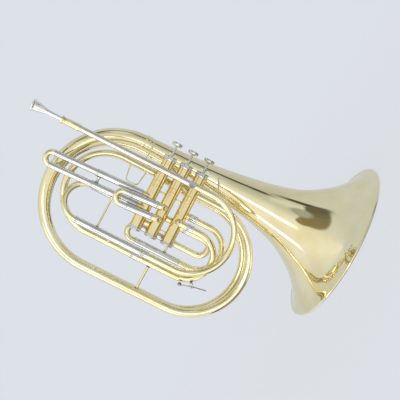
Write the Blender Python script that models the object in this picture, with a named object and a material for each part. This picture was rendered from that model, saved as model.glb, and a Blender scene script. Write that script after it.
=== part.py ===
"""A marching french horn standing on the rim of its bell, mouthpiece up.

Lengths are millimetres until a mesh is made, and the meshes and locations are metres.
Points are (x, y, z): x from the bell's axis towards the finger buttons, y away from the
side with the slides in front, z up from the rim plane. The finished object is shifted
along x so that its origin lies under the middle of its box.
"""

import math

import bmesh
import bpy
from mathutils import Vector

MM = 0.001

# Fits, walls and fineness
SEAT_GAP = 0.3
SLIDE_CLEARANCE = 0.3
BEND_PLAY = 0.05
OVERCUT = 1.0
TUBE_WALL = 0.5
SLEEVE_WALL = 0.45
TUBE_SIDES = 12
WIRE_SIDES = 8
SMALL_BEND_STEP = 30.0
LARGE_BEND_STEP = 22.5
SAME_POINT = 0.05
SHARP_ANGLE = 40.0

# Tubing
SLIDE_RADIUS = 5.5
BOW_RADIUS = 5.9
LOOP_RADIUS = 6.0
SLEEVE_BORE = SLIDE_RADIUS + SLIDE_CLEARANCE
SLEEVE_RADIUS = SLEEVE_BORE + SLEEVE_WALL

# Bell, turned about z
RIM_RADIUS = 150.0
RIM_BEAD_RADIUS = 2.0
RIM_BEAD_SIDES = 8
RIM_NECK_INSET = 1.2
BELL_WALL = 0.7
BELL_TAIL_RADIUS = 13.8
BELL_TAIL_Z = 390.0
BELL_SIDES = 32

# The flare's outside, as shares of the way up to the tail and out to the rim's bead
BELL_FLARE = (
    (1.0000, 0.0000), (0.9103, 0.0113), (0.8077, 0.0286), (0.6923, 0.0602), (0.5744, 0.1068),
    (0.4795, 0.1549), (0.3846, 0.2098), (0.2897, 0.2872), (0.2256, 0.3662), (0.1641, 0.4752),
    (0.1077, 0.5992), (0.0615, 0.7383), (0.0282, 0.8737), (0.0092, 1.0000),
)

# Main branch: the large bows behind the valves, in the bell's plane
BRANCH_OFFSET = 247.4
BRANCH_RADIUS = 9.4
REAR_BOW_Z = BELL_TAIL_Z + BRANCH_OFFSET / 2
FRONT_BOW_Z = 118.5
FRONT_BOW_START_RADIUS = 6.6
FRONT_BOW_START_Z = 260.0

# Valve cluster
VALVE_Y = -42.0
VALVE_2_Z = 308.6
VALVE_SPACING = 31.3
VALVE_1_Z = VALVE_2_Z + VALVE_SPACING
VALVE_3_Z = VALVE_2_Z - VALVE_SPACING
CASING_RADIUS = 10.8
CASING_WALL = 1.0
CASING_BORE = CASING_RADIUS - CASING_WALL
CASING_TOP_X = -6.0
CASING_BOTTOM_X = -141.0
CASING_SIDES = 16
CAP_WALL = 0.75
CAP_SKIRT = 4.0
CAP_BEVEL = 1.0
TOP_CAP_THICKNESS = 5.0
BOTTOM_CAP_THICKNESS = 3.6
BOTTOM_CAP_VENT = 1.6
PISTON_TOP_X = -66.0
PISTON_LENGTH = 52.0
PISTON_WALL = 1.2
PISTON_CROWN = 5.0
PISTON_CLEARANCE = 0.15
STEM_RADIUS = 2.0
STEM_RECESS = 1.5
VALVE_STROKE = 16.5
BUTTON_FLOAT = 2.2
BUTTON_RADIUS = 9.6
BUTTON_THICKNESS = 7.0
BUTTON_UNDER_BEVEL = 2.0
BUTTON_EDGE_BEVEL = 1.2
BUTTON_DISH = 1.0
BUTTON_DISH_EDGE = 2.6
BUTTON_TOP_X = (CASING_TOP_X + SEAT_GAP + TOP_CAP_THICKNESS + BUTTON_FLOAT + VALVE_STROKE
                + BUTTON_THICKNESS)
SPRING_RADIUS = 6.6
SPRING_WIRE = 0.9
KNUCKLE_REACH = 15.0
FRONT_KNUCKLE_REACH = 12.4
FRONT_KNUCKLE_Y = VALVE_Y - FRONT_KNUCKLE_REACH
BORE_START = 2.0
CROSSOVER_RADIUS = 5.4
POST_RADIUS = 1.7
POST_X = -65.0
CROSSOVER_12_X = -124.5
CROSSOVER_23_X = -101.6

# Valve exit and the inner loop that leads to the large front bow
EXIT_X = -97.5
EXIT_ELBOW_RADIUS = 7.0
EXIT_ELBOW_LEAD = 0.8
EXIT_Y = FRONT_KNUCKLE_Y - SEAT_GAP - EXIT_ELBOW_RADIUS - EXIT_ELBOW_LEAD
EXIT_BOW_DROP = 85.8
EXIT_BOW_Z = VALVE_3_Z - EXIT_BOW_DROP
LOOP_Y = -17.0
LOOP_LOWER_X = -187.8
LOOP_UPPER_X = -41.0
LOOP_JOINT_Z = 316.0
LOOP_BOW_STEP = 29.0
LOOP_BOW_Z = REAR_BOW_Z - LOOP_BOW_STEP

# The loop's second turn passes behind the first one and behind the valves, then comes back to the front
TURN_FRONT_X = -46.5
TURN_FRONT_Y = 6.0
TURN_FRONT_Z = 127.0
TURN_LEAVING_Z = 350.0
TURN_BEHIND_Z = 300.0
TURN_OUTER_X = -246.0
TURN_OUTER_Y = 17.0
TURN_REAR_Z = 508.0
TURN_TAIL_X = -14.5
TURN_TAIL_Y = 23.0
TURN_RETURN_Z = 345.0
TURN_SHIFT_LENGTH = 65.0
TURN_SHIFT_BEND = 15.0

# Leadpipe, tilted a little, and the bow that follows it
LEADPIPE_Y = -62.0
LEADPIPE_TOP_X = -31.7
LEADPIPE_TOP_Z = 507.0
LEADPIPE_FOOT_X = -28.6
LEADPIPE_FOOT_Z = 290.0
LEADPIPE_TOP_RADIUS = 5.2
LEADPIPE_FOOT_RADIUS = 5.6
LEAD_BOW_LEAN = 0.6
LEAD_BOW_X = LEADPIPE_FOOT_X + LEAD_BOW_LEAN
LEAD_BOW_DROP = 17.0
LEAD_BOW_Z = EXIT_BOW_Z - LEAD_BOW_DROP
RECEIVER_LENGTH = 34.0
RECEIVER_OVERLAP = 7.0
RECEIVER_WALL = 0.7
RECEIVER_STEP = 1.5
RECEIVER_RING_RISE = 0.8
RECEIVER_RING_LENGTH = 3.2

# Mouthpiece: its rim, cup, neck and shank
MOUTHPIECE_LENGTH = 72.0
MOUTHPIECE_RIM_RADIUS = 11.4
MOUTHPIECE_RIM_DEPTH = 3.0
MOUTHPIECE_RIM_BEVEL = 1.2
MOUTHPIECE_RIM_BITE = 0.6
MOUTHPIECE_RIM_OVERHANG = 2.2
MOUTHPIECE_CUP_RADIUS = 8.7
MOUTHPIECE_CUP_LENGTH = 21.0
MOUTHPIECE_BOWL_RISE = 8.0
MOUTHPIECE_BOWL_RADIUS = 8.2
MOUTHPIECE_BOWL_WALL = 2.1
MOUTHPIECE_FOOT_RADIUS = 6.2
MOUTHPIECE_NECK_RADIUS = 4.7
MOUTHPIECE_NECK_LENGTH = 8.0
THROAT_RADIUS = 2.2
THROAT_LENGTH = 6.0
SHANK_TOP_RADIUS = 4.0
SHANK_END_RADIUS = 3.6
SHANK_WALL = 1.1
SHANK_INSERTION = 18.0

# Main tuning slide, between the leadpipe's bow and the first valve
MAIN_LOWER_X = -173.8
MAIN_LOWER_Y = -52.0
MAIN_UPPER_X = -110.0
MAIN_UPPER_STEP = 9.0
MAIN_UPPER_Y = VALVE_Y + MAIN_UPPER_STEP
INLET_X = -117.0
INLET_TURN = 26.0
INLET_BEND = 12.0
INLET_REACH = 32.1
MAIN_UPPER_START_Z = VALVE_1_Z + INLET_REACH
MAIN_UPPER_LENGTH = 66.0
MAIN_SLEEVE_END_Z = MAIN_UPPER_START_Z + MAIN_UPPER_LENGTH
MAIN_LOWER_LENGTH = 129.0
MAIN_SLEEVE_START_Z = MAIN_SLEEVE_END_Z - MAIN_LOWER_LENGTH
MAIN_LEG_ROOM = 2.0
MAIN_LEG_INSERTION = MAIN_UPPER_LENGTH - MAIN_LEG_ROOM
MAIN_BOW_REACH = 33.0
MAIN_BOW_Z = MAIN_SLEEVE_END_Z + MAIN_BOW_REACH

# First valve slide: its two legs run up from the first valve, leaning by a small angle
FIRST_SIDE_STEP = 6.0
FIRST_Y = VALVE_Y - FIRST_SIDE_STEP
FIRST_TILT = 2.5
FIRST_UPPER_X = -80.5
FIRST_SPACING = 22.4
FIRST_SLEEVE_START = KNUCKLE_REACH + SEAT_GAP
FIRST_SLEEVE_LENGTH = 86.7
FIRST_SLEEVE_END = FIRST_SLEEVE_START + FIRST_SLEEVE_LENGTH
FIRST_LEG_INSERTION = 62.0
FIRST_BOW_REACH = 88.5

# Second valve slide, in front of the first valve
SECOND_TILT = 4.5
SECOND_UPPER_X = -86.2
SECOND_SPACING = 22.2
SECOND_ELBOW_RADIUS = 7.0
SECOND_ELBOW_LEAD = 0.3
SECOND_Y = FRONT_KNUCKLE_Y - SEAT_GAP - SECOND_ELBOW_RADIUS - SECOND_ELBOW_LEAD
SECOND_SLEEVE_LENGTH = 62.0
SECOND_LEG_INSERTION = 44.0
SECOND_BOW_REACH = 22.0
SECOND_PORT_SHIFT = 1.5

# Third valve's tubing and its slide
THIRD_OUT_X = -81.0
THIRD_RETURN_X = -104.6
THIRD_BOW_DROP = 96.3
THIRD_BOW_Z = VALVE_3_Z - THIRD_BOW_DROP
THIRD_RETURN_DROP = 71.3
THIRD_RETURN_Z = VALVE_3_Z - THIRD_RETURN_DROP
THIRD_Y = -16.0
THIRD_LOWER_X = -163.3
THIRD_UPPER_X = -136.8
THIRD_LOWER_RISE = 59.0
THIRD_LOWER_START_Z = THIRD_BOW_Z + THIRD_LOWER_RISE
THIRD_UPPER_RISE = 56.0
THIRD_UPPER_START_Z = THIRD_RETURN_Z + THIRD_UPPER_RISE
THIRD_UPPER_LENGTH = 68.0
THIRD_SLEEVE_END_Z = THIRD_UPPER_START_Z + THIRD_UPPER_LENGTH
THIRD_LEG_INSERTION = 56.0
THIRD_SLIDE_REACH = 18.2

# Ferrules over the joints between tubes
FERRULE_LENGTH = 11.0
FERRULE_WALL = 0.5
FERRULE_SETBACK = 1.0

# Braces: each height is set off from the joint or slide that the brace steadies
BRACE_RADIUS = 1.9
SLIDE_BRACE_DROP = 40.0
SLIDE_LOOP_BRACE_DROP = 69.0
BRANCH_BRACE_DROP = 31.0
BRANCH_BRACE_RADIUS = 2.6
THIRD_BRACE_DROP = 59.0
FIRST_BRACE_DROP = 8.0
FIRST_BRACE_RADIUS = 2.4
FOOT_FLARE = 1.7
FOOT_LENGTH = 3.5
WIRE_RADIUS = 1.2
TAIL_BRACE_DROP = 13.0
TAIL_BRACE_SIDE = 8.0
LOOP_WIRE_RISE = 56.1
LOOP_WIRE_SPAN = 30.0
LOOP_WIRE_TAPER = 4.0
LOOP_WIRE_BEND = 8.0
LOOP_WIRE_SPARE = 0.6
S_WIRE_FOOT_X = 4.0
S_WIRE_FOOT_Z = 247.0
S_WIRE_END_Z = 224.0
S_WIRE_BULGE = 4.0
S_WIRE_LIFT = 3.0
S_WIRE_BEND = 14.0
S_WIRE_SPARE = 0.5

# Water key on the lower right of the exit bow, placed by its angle around that bow
KEY_ANGLE = 52.0
KEY_PIVOT_REACH = 14.5
KEY_SADDLE_LIFT = 0.4
KEY_SADDLE_FLOOR = 1.6
KEY_SADDLE_LENGTH = 5.2
KEY_EAR_THICKNESS = 1.2
KEY_EAR_REACH = 2.4
KEY_PIN_RADIUS = 1.0
KEY_PIN_CLEARANCE = 0.15
KEY_PIN_END = 0.6
KEY_HUB_RADIUS = 2.6
KEY_WIDTH = 5.0
KEY_PAD_ARM = 23.0
KEY_FINGER_ARM = 27.0
KEY_FINGER_RISE = 6.0
KEY_CUP_RADIUS = 3.9
KEY_CUP_WALL = 1.8
KEY_ARM_THICKNESS = 1.5
KEY_CORK_RADIUS = 3.1
KEY_CORK_LENGTH = 3.0

# Lyre holder in front of the leadpipe's joint
LYRE_DROP = 3.0
LYRE_Z = LEADPIPE_FOOT_Z - LYRE_DROP
LYRE_WIDTH = 10.0
LYRE_DEPTH = 10.0
LYRE_HOLE = 5.0
LYRE_SCREW_RADIUS = 1.7
LYRE_SCREW_CLEARANCE = 0.3
LYRE_HEAD_RADIUS = 6.2
LYRE_HEAD_LENGTH = 4.2
LYRE_HEAD_BEVEL = 0.6

# The origin under the middle of the object's box, as a shift along x
X_SHIFT = (BRANCH_OFFSET + BRANCH_RADIUS - RIM_RADIUS) / 2

UP = Vector((0, 0, 1))
DEPTH = Vector((0, 1, 0))
BUTTONWARDS = Vector((1, 0, 0))

LACQUER = ("lacquered brass", (0.86, 0.72, 0.38, 1), 0.18, 1.0)
NICKEL = ("nickel silver", (0.78, 0.78, 0.76, 1), 0.2, 1.0)
SILVER = ("silver plate", (0.9, 0.9, 0.9, 1), 0.12, 1.0)
STEEL = ("spring steel", (0.5, 0.5, 0.5, 1), 0.3, 1.0)
CORK = ("cork", (0.5, 0.33, 0.2, 1), 0.9, 0.0)


def clear_scene():
    for thing in list(bpy.data.objects):
        bpy.data.objects.remove(thing, do_unlink=True)


def material(look):
    name, colour, roughness, metallic = look
    found = bpy.data.materials.get(name)
    if found:
        return found
    made = bpy.data.materials.new(name)
    made.use_nodes = True
    shader = made.node_tree.nodes["Principled BSDF"]
    shader.inputs["Base Color"].default_value = colour
    shader.inputs["Roughness"].default_value = roughness
    shader.inputs["Metallic"].default_value = metallic
    return made


def pivot_empty(name, at):
    """An empty on a joint's axis, which carries the pieces that move with it."""
    empty = bpy.data.objects.new(name, None)
    empty.location = (Vector(at) + Vector((X_SHIFT, 0, 0))) * MM
    bpy.context.scene.collection.objects.link(empty)
    return empty


def solid(name, points, faces, look, carrier=None):
    """A closed mesh object from points in millimetres, under its carrier if it has one."""
    base = carrier.location.copy() if carrier else Vector((0, 0, 0))
    shift = Vector((X_SHIFT, 0, 0))
    mesh = bpy.data.meshes.new(name)
    mesh.from_pydata([(Vector(p) + shift) * MM - base for p in points], [], faces)
    builder = bmesh.new()
    builder.from_mesh(mesh)
    bmesh.ops.recalc_face_normals(builder, faces=builder.faces)
    builder.to_mesh(mesh)
    builder.free()
    mesh.shade_smooth()
    mesh.set_sharp_from_angle(angle=math.radians(SHARP_ANGLE))
    mesh.materials.append(material(look))
    thing = bpy.data.objects.new(name, mesh)
    bpy.context.scene.collection.objects.link(thing)
    thing.parent = carrier
    return thing


def combine(target, helper, operation):
    """Adds a helper to the target, or cuts it out, with a Boolean modifier."""
    helper.hide_render = True
    helper.display_type = "WIRE"
    step = target.modifiers.new(helper.name, "BOOLEAN")
    step.operation = operation
    step.object = helper
    step.solver = "EXACT"


def rounded_path(corners, bends, step):
    """Centre points along straight runs whose inner corners are rounded by the bend radii."""
    corners = [Vector(c) for c in corners]
    path = [corners[0]]
    for before, corner, after, bend in zip(corners, corners[1:], corners[2:], bends):
        to_start = (before - corner).normalized()
        to_end = (after - corner).normalized()
        opening = to_start.angle(to_end)
        reach = bend / math.tan(opening / 2)
        middle = corner + (to_start + to_end).normalized() * bend / math.sin(opening / 2)
        first = corner + to_start * reach - middle
        last = corner + to_end * reach - middle
        turn = math.pi - opening
        count = max(2, round(math.degrees(turn) / step))
        for i in range(count + 1):
            share = i / count
            swing = (first * math.sin((1 - share) * turn) + last * math.sin(share * turn)) / math.sin(turn)
            point = middle + swing
            if (point - path[-1]).length > SAME_POINT:
                path.append(point)
    if (corners[-1] - path[-1]).length > SAME_POINT:
        path.append(corners[-1])
    return path


def rings_along(path, corners, radii, sides, reference):
    """One ring of points at each path point, mitred, its first point towards the reference.

    The end rings stand square to the first and last straight between the corners.
    """
    runs = [(b - a).normalized() for a, b in zip(path, path[1:])]
    runs[0] = (Vector(corners[1]) - Vector(corners[0])).normalized()
    runs[-1] = (Vector(corners[-1]) - Vector(corners[-2])).normalized()
    rings = []
    for i, centre in enumerate(path):
        arriving = runs[max(i - 1, 0)]
        leaving = runs[min(i, len(runs) - 1)]
        along = (arriving + leaving).normalized()
        stretch = 1 / arriving.dot(along)
        across = (reference - along * reference.dot(along)).normalized()
        other = along.cross(across)
        bend = leaving - arriving
        bend = bend.normalized() if bend.length > 1e-6 else None
        ring = []
        for k in range(sides):
            angle = 2 * math.pi * k / sides
            spoke = (across * math.cos(angle) + other * math.sin(angle)) * radii[i]
            if bend is not None:
                spoke += bend * spoke.dot(bend) * (stretch - 1)
            ring.append(centre + spoke)
        rings.append(ring)
    return rings


def lengths_share(path):
    """How far along its whole length each path point lies, from 0 to 1."""
    travelled = [0.0]
    for a, b in zip(path, path[1:]):
        travelled.append(travelled[-1] + (b - a).length)
    return [t / travelled[-1] for t in travelled]


def stitch(first, second, sides):
    """Faces between two rings given by their first point's index."""
    faces = []
    for k in range(sides):
        n = (k + 1) % sides
        faces.append((first + k, first + n, second + n, second + k))
    return faces


def tube(name, corners, bends, radii, look, wall=TUBE_WALL, step=SMALL_BEND_STEP,
         reference=DEPTH, sides=TUBE_SIDES, carrier=None):
    """An open-ended tube along a rounded path, its outer radius changing evenly if two are given."""
    start, end = radii if isinstance(radii, tuple) else (radii, radii)
    path = rounded_path(corners, bends, step)
    outer = [start + (end - start) * share for share in lengths_share(path)]
    inner = [radius - wall for radius in outer]
    outer_rings = rings_along(path, corners, outer, sides, reference)
    inner_rings = rings_along(path, corners, inner, sides, reference)
    points = [p for ring in outer_rings + inner_rings for p in ring]
    faces = []
    count = len(path)
    for i in range(count - 1):
        faces += stitch(i * sides, (i + 1) * sides, sides)
        faces += stitch((count + i + 1) * sides, (count + i) * sides, sides)
    faces += stitch(count * sides, 0, sides)
    faces += stitch((count - 1) * sides, (2 * count - 1) * sides, sides)
    return solid(name, points, faces, look, carrier)


def rod(name, corners, bends, radii, look, sides=WIRE_SIDES, reference=DEPTH, carrier=None,
        step=SMALL_BEND_STEP):
    """A solid bar or wire along a rounded path; radii is one value or one per path point."""
    path = rounded_path(corners, bends, step)
    if not isinstance(radii, (tuple, list)):
        radii = [radii] * len(path)
    rings = rings_along(path, corners, radii, sides, reference)
    points = [p for ring in rings for p in ring]
    faces = [tuple(reversed(range(sides)))]
    for i in range(len(path) - 1):
        faces += stitch(i * sides, (i + 1) * sides, sides)
    last = (len(path) - 1) * sides
    faces.append(tuple(range(last, last + sides)))
    return solid(name, points, faces, look, carrier)


def turned_points(profile, at, along, sides, reference):
    """The points of a profile of (radius, distance along the axis), turned round that axis."""
    at = Vector(at)
    along = Vector(along).normalized()
    across = (reference - along * reference.dot(along)).normalized()
    other = along.cross(across)
    points = []
    for radius, distance in profile:
        for k in range(sides):
            angle = 2 * math.pi * k / sides
            spoke = across * math.cos(angle) + other * math.sin(angle)
            points.append(at + along * distance + spoke * radius)
    return points


def turned(name, profile, at, along, look, sides=TUBE_SIDES, reference=DEPTH, carrier=None):
    """A ring-like solid: a closed profile that is turned round an axis and never meets it."""
    points = turned_points(profile, at, along, sides, reference)
    faces = []
    for i in range(len(profile)):
        faces += stitch(i * sides, ((i + 1) % len(profile)) * sides, sides)
    return solid(name, points, faces, look, carrier)


def spindle(name, profile, at, along, look, sides=TUBE_SIDES, reference=DEPTH, carrier=None):
    """A turned solid that is closed on its axis at both ends."""
    points = turned_points(profile, at, along, sides, reference)
    faces = [tuple(reversed(range(sides)))]
    for i in range(len(profile) - 1):
        faces += stitch(i * sides, (i + 1) * sides, sides)
    last = (len(profile) - 1) * sides
    faces.append(tuple(range(last, last + sides)))
    return solid(name, points, faces, look, carrier)


def block(name, low, high, look, carrier=None):
    """A box between two opposite corners."""
    (ax, ay, az), (bx, by, bz) = low, high
    points = [(x, y, z) for x in (ax, bx) for y in (ay, by) for z in (az, bz)]
    faces = [(0, 1, 3, 2), (4, 6, 7, 5), (0, 4, 5, 1), (2, 3, 7, 6), (0, 2, 6, 4), (1, 5, 7, 3)]
    return solid(name, points, faces, look, carrier)


def plate(name, outline, y_low, y_high, look, carrier=None):
    """An outline of (x, z) points, extruded along y."""
    count = len(outline)
    points = [(x, y, z) for y in (y_low, y_high) for x, z in outline]
    faces = [tuple(range(count)), tuple(reversed(range(count, 2 * count)))]
    faces += stitch(0, count, count)
    return solid(name, points, faces, look, carrier)


def tilted(angle):
    """Direction of a slide that leans away from the buttons as it rises."""
    return Vector((-math.sin(math.radians(angle)), 0, math.cos(math.radians(angle))))


def bell_stations():
    """The outside of the flare as (radius, height) from the tail down to the rim's bead."""
    widest = RIM_RADIUS - RIM_BEAD_RADIUS - RIM_NECK_INSET
    return [(BELL_TAIL_RADIUS + (widest - BELL_TAIL_RADIUS) * out, BELL_TAIL_Z * up)
            for up, out in BELL_FLARE]


def bell_radius(z):
    """Outer radius of the bell at a height, between its stations."""
    stations = bell_stations()
    for (small, high), (large, low) in zip(stations, stations[1:]):
        if z >= low:
            break
    return small + (large - small) * (high - z) / (high - low)


def make_bell():
    outer = bell_stations()
    inner = []
    for i, (radius, z) in enumerate(outer):
        r_before, z_before = outer[max(i - 1, 0)]
        r_after, z_after = outer[min(i + 1, len(outer) - 1)]
        slope = Vector((r_after - r_before, z_after - z_before)).normalized()
        inner.append((radius + slope.y * BELL_WALL, z + (0 if i == 0 else -slope.x * BELL_WALL)))
    half = math.pi / RIM_BEAD_SIDES
    bead_at = Vector((RIM_RADIUS - RIM_BEAD_RADIUS * math.cos(half), RIM_BEAD_RADIUS * math.cos(half)))
    bead = []
    for k in range(RIM_BEAD_SIDES - 1):
        angle = math.pi / 2 + half - 2 * half * k
        corner = bead_at + Vector((math.cos(angle), math.sin(angle))) * RIM_BEAD_RADIUS
        bead.append((corner.x, corner.y))
    profile = outer + bead + inner[::-1]
    turned("bell", profile, (0, 0, 0), UP, LACQUER, BELL_SIDES)


def make_main_branch():
    tube("large_front_bow",
         [(LOOP_UPPER_X, LOOP_Y, FRONT_BOW_START_Z), (LOOP_UPPER_X, LOOP_Y, FRONT_BOW_Z),
          (-BRANCH_OFFSET, 0, FRONT_BOW_Z), (-BRANCH_OFFSET, 0, BELL_TAIL_Z)],
         [(BRANCH_OFFSET + LOOP_UPPER_X) / 2] * 2,
         (FRONT_BOW_START_RADIUS, BRANCH_RADIUS), LACQUER, step=LARGE_BEND_STEP)
    tube("large_rear_bow",
         [(-BRANCH_OFFSET, 0, BELL_TAIL_Z + SEAT_GAP), (-BRANCH_OFFSET, 0, REAR_BOW_Z),
          (0, 0, REAR_BOW_Z), (0, 0, BELL_TAIL_Z + SEAT_GAP)],
         [BRANCH_OFFSET / 2 - SEAT_GAP] * 2,
         (BRANCH_RADIUS, BELL_TAIL_RADIUS), LACQUER, step=LARGE_BEND_STEP)


def ferrule(name, at, along, radius, look=NICKEL):
    """A band round the joint between two tubes."""
    inner = radius / math.cos(math.pi / TUBE_SIDES) + SEAT_GAP
    outer = inner + FERRULE_WALL
    half = FERRULE_LENGTH / 2
    profile = [(inner, -half), (inner, half), (outer, half), (outer, -half)]
    turned(name, profile, at, along, look)


def stub(name, start, end, radius, reference=DEPTH, corners=(), bends=()):
    return rod(name, [start, *corners, end], list(bends), radius, LACQUER, TUBE_SIDES, reference)


def make_casing(number, z, knuckles, posts):
    """A valve casing with its knuckles brazed on, each (name, start, end, reference, corners, bends)."""
    name = f"valve_casing_{number}"
    length = CASING_TOP_X - CASING_BOTTOM_X
    casing = spindle(name, [(CASING_RADIUS, 0), (CASING_RADIUS, length)],
                     (CASING_BOTTOM_X, VALVE_Y, z), BUTTONWARDS, LACQUER, CASING_SIDES)
    cutters = []
    for label, start, end, reference, corners, bends in knuckles:
        outer = stub(f"{name}_{label}", start, end, BOW_RADIUS, reference, corners, bends)
        combine(casing, outer, "UNION")
        last = Vector(corners[-1]) if corners else Vector(start)
        beyond = Vector(end) + (Vector(end) - last).normalized() * SEAT_GAP
        towards = (Vector(corners[0] if corners else end) - Vector(start)).normalized()
        cutters.append(stub(f"{name}_{label}_bore", Vector(start) + towards * BORE_START, beyond,
                            BOW_RADIUS - TUBE_WALL, reference, corners, bends))
    for label, start, end in posts:
        combine(casing, rod(f"{name}_{label}", [start, end], [], POST_RADIUS, LACQUER), "UNION")
    bore = spindle(f"{name}_bore", [(CASING_BORE, -OVERCUT), (CASING_BORE, length + OVERCUT)],
                   (CASING_BOTTOM_X, VALVE_Y, z), BUTTONWARDS, LACQUER, CASING_SIDES)
    combine(casing, bore, "DIFFERENCE")
    for cutter in cutters:
        combine(casing, cutter, "DIFFERENCE")


def first_point(upper, along):
    """A point on a leg of the first slide, at a distance from the valve's axis."""
    x = FIRST_UPPER_X if upper else FIRST_UPPER_X - FIRST_SPACING
    return Vector((x, FIRST_Y, VALVE_1_Z)) + tilted(FIRST_TILT) * along


def make_casings():
    z1, z2, z3 = VALVE_1_Z, VALVE_2_Z, VALVE_3_Z
    inlet_turn = (MAIN_UPPER_X, MAIN_UPPER_Y, z1 + INLET_TURN)
    make_casing(
        1, z1,
        [("upper", first_point(True, 0), first_point(True, KNUCKLE_REACH), DEPTH, (), ()),
         ("lower", first_point(False, 0), first_point(False, KNUCKLE_REACH), DEPTH, (), ()),
         ("inlet", (INLET_X, VALVE_Y, z1),
          (MAIN_UPPER_X, MAIN_UPPER_Y, MAIN_UPPER_START_Z - SEAT_GAP), DEPTH,
          (inlet_turn,), (INLET_BEND,))],
        [])
    port_z = z2 + SECOND_PORT_SHIFT
    gap = VALVE_SPACING - CASING_RADIUS - SEAT_GAP
    make_casing(
        2, z2,
        [("upper", (SECOND_UPPER_X, VALVE_Y, port_z), (SECOND_UPPER_X, FRONT_KNUCKLE_Y, port_z), UP, (), ()),
         ("lower", (SECOND_UPPER_X - SECOND_SPACING, VALVE_Y, port_z),
          (SECOND_UPPER_X - SECOND_SPACING, FRONT_KNUCKLE_Y, port_z), UP, (), ())],
        [("post_1", (POST_X, VALVE_Y, z2 + CASING_BORE), (POST_X, VALVE_Y, z2 + gap)),
         ("post_3", (POST_X, VALVE_Y, z2 - CASING_BORE), (POST_X, VALVE_Y, z2 - gap)),
         ("post_low", (CROSSOVER_12_X, VALVE_Y, z2 - CASING_BORE), (CROSSOVER_12_X, VALVE_Y, z2 - gap))])
    make_casing(
        3, z3,
        [("out", (THIRD_OUT_X, VALVE_Y, z3), (THIRD_OUT_X, VALVE_Y, z3 - KNUCKLE_REACH), DEPTH, (), ()),
         ("return", (THIRD_RETURN_X, VALVE_Y, z3),
          (THIRD_RETURN_X, VALVE_Y, z3 - KNUCKLE_REACH), DEPTH, (), ()),
         ("exit", (EXIT_X, VALVE_Y, z3), (EXIT_X, FRONT_KNUCKLE_Y, z3), UP, (), ())],
        [])
    for name, x, z in (("crossover_1_2", CROSSOVER_12_X, (z1 + z2) / 2),
                       ("crossover_2_3", CROSSOVER_23_X, (z2 + z3) / 2)):
        half = VALVE_SPACING / 2 - CASING_RADIUS - SEAT_GAP
        tube(name, [(x, VALVE_Y, z - half), (x, VALVE_Y, z + half)], [], CROSSOVER_RADIUS, LACQUER)


def make_valve(number, z):
    """A valve's caps, piston, spring and finger button, from the height of its axis."""
    skirt_bore = CASING_RADIUS + SEAT_GAP
    skirt = skirt_bore + CAP_WALL
    top = CASING_TOP_X + SEAT_GAP
    stem_hole = STEM_RADIUS + SEAT_GAP
    turned(f"valve_top_cap_{number}",
           [(stem_hole, 0), (stem_hole, TOP_CAP_THICKNESS), (skirt - CAP_BEVEL, TOP_CAP_THICKNESS),
            (skirt, TOP_CAP_THICKNESS - CAP_BEVEL), (skirt, -CAP_SKIRT), (skirt_bore, -CAP_SKIRT),
            (skirt_bore, 0)],
           (top, VALVE_Y, z), BUTTONWARDS, NICKEL, CASING_SIDES)
    turned(f"valve_bottom_cap_{number}",
           [(BOTTOM_CAP_VENT, 0), (BOTTOM_CAP_VENT, BOTTOM_CAP_THICKNESS),
            (skirt - CAP_BEVEL, BOTTOM_CAP_THICKNESS), (skirt, BOTTOM_CAP_THICKNESS - CAP_BEVEL),
            (skirt, -CAP_SKIRT), (skirt_bore, -CAP_SKIRT), (skirt_bore, 0)],
           (CASING_BOTTOM_X - SEAT_GAP, VALVE_Y, z), -BUTTONWARDS, NICKEL, CASING_SIDES)

    mover = pivot_empty(f"valve_{number}_mover", (CASING_TOP_X, VALVE_Y, z))
    piston_radius = CASING_BORE * math.cos(math.pi / CASING_SIDES) - PISTON_CLEARANCE
    stem_end = BUTTON_TOP_X - BUTTON_DISH - STEM_RECESS
    bottom = PISTON_TOP_X - PISTON_LENGTH
    hollow = piston_radius - PISTON_WALL
    spindle(f"piston_{number}",
            [(hollow, PISTON_TOP_X - PISTON_CROWN), (hollow, bottom), (piston_radius, bottom),
             (piston_radius, PISTON_TOP_X), (STEM_RADIUS, PISTON_TOP_X), (STEM_RADIUS, stem_end)],
            (0, VALVE_Y, z), BUTTONWARDS, NICKEL, CASING_SIDES, carrier=mover)
    under = BUTTON_TOP_X - BUTTON_THICKNESS
    socket = STEM_RADIUS + SEAT_GAP
    spindle(f"finger_button_{number}",
            [(socket, stem_end + SEAT_GAP), (socket, under), (BUTTON_RADIUS - BUTTON_UNDER_BEVEL, under),
             (BUTTON_RADIUS, under + BUTTON_UNDER_BEVEL), (BUTTON_RADIUS, BUTTON_TOP_X - BUTTON_EDGE_BEVEL),
             (BUTTON_RADIUS - BUTTON_EDGE_BEVEL, BUTTON_TOP_X),
             (BUTTON_RADIUS - BUTTON_DISH_EDGE, BUTTON_TOP_X - BUTTON_DISH)],
            (0, VALVE_Y, z), BUTTONWARDS, NICKEL, CASING_SIDES, carrier=mover)
    spring_length = PISTON_TOP_X - PISTON_CROWN - SEAT_GAP - CASING_BOTTOM_X
    turned(f"valve_spring_{number}",
           [(SPRING_RADIUS - SPRING_WIRE, 0), (SPRING_RADIUS - SPRING_WIRE, spring_length),
            (SPRING_RADIUS, spring_length), (SPRING_RADIUS, 0)],
           (CASING_BOTTOM_X, VALVE_Y, z), BUTTONWARDS, STEEL)


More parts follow.
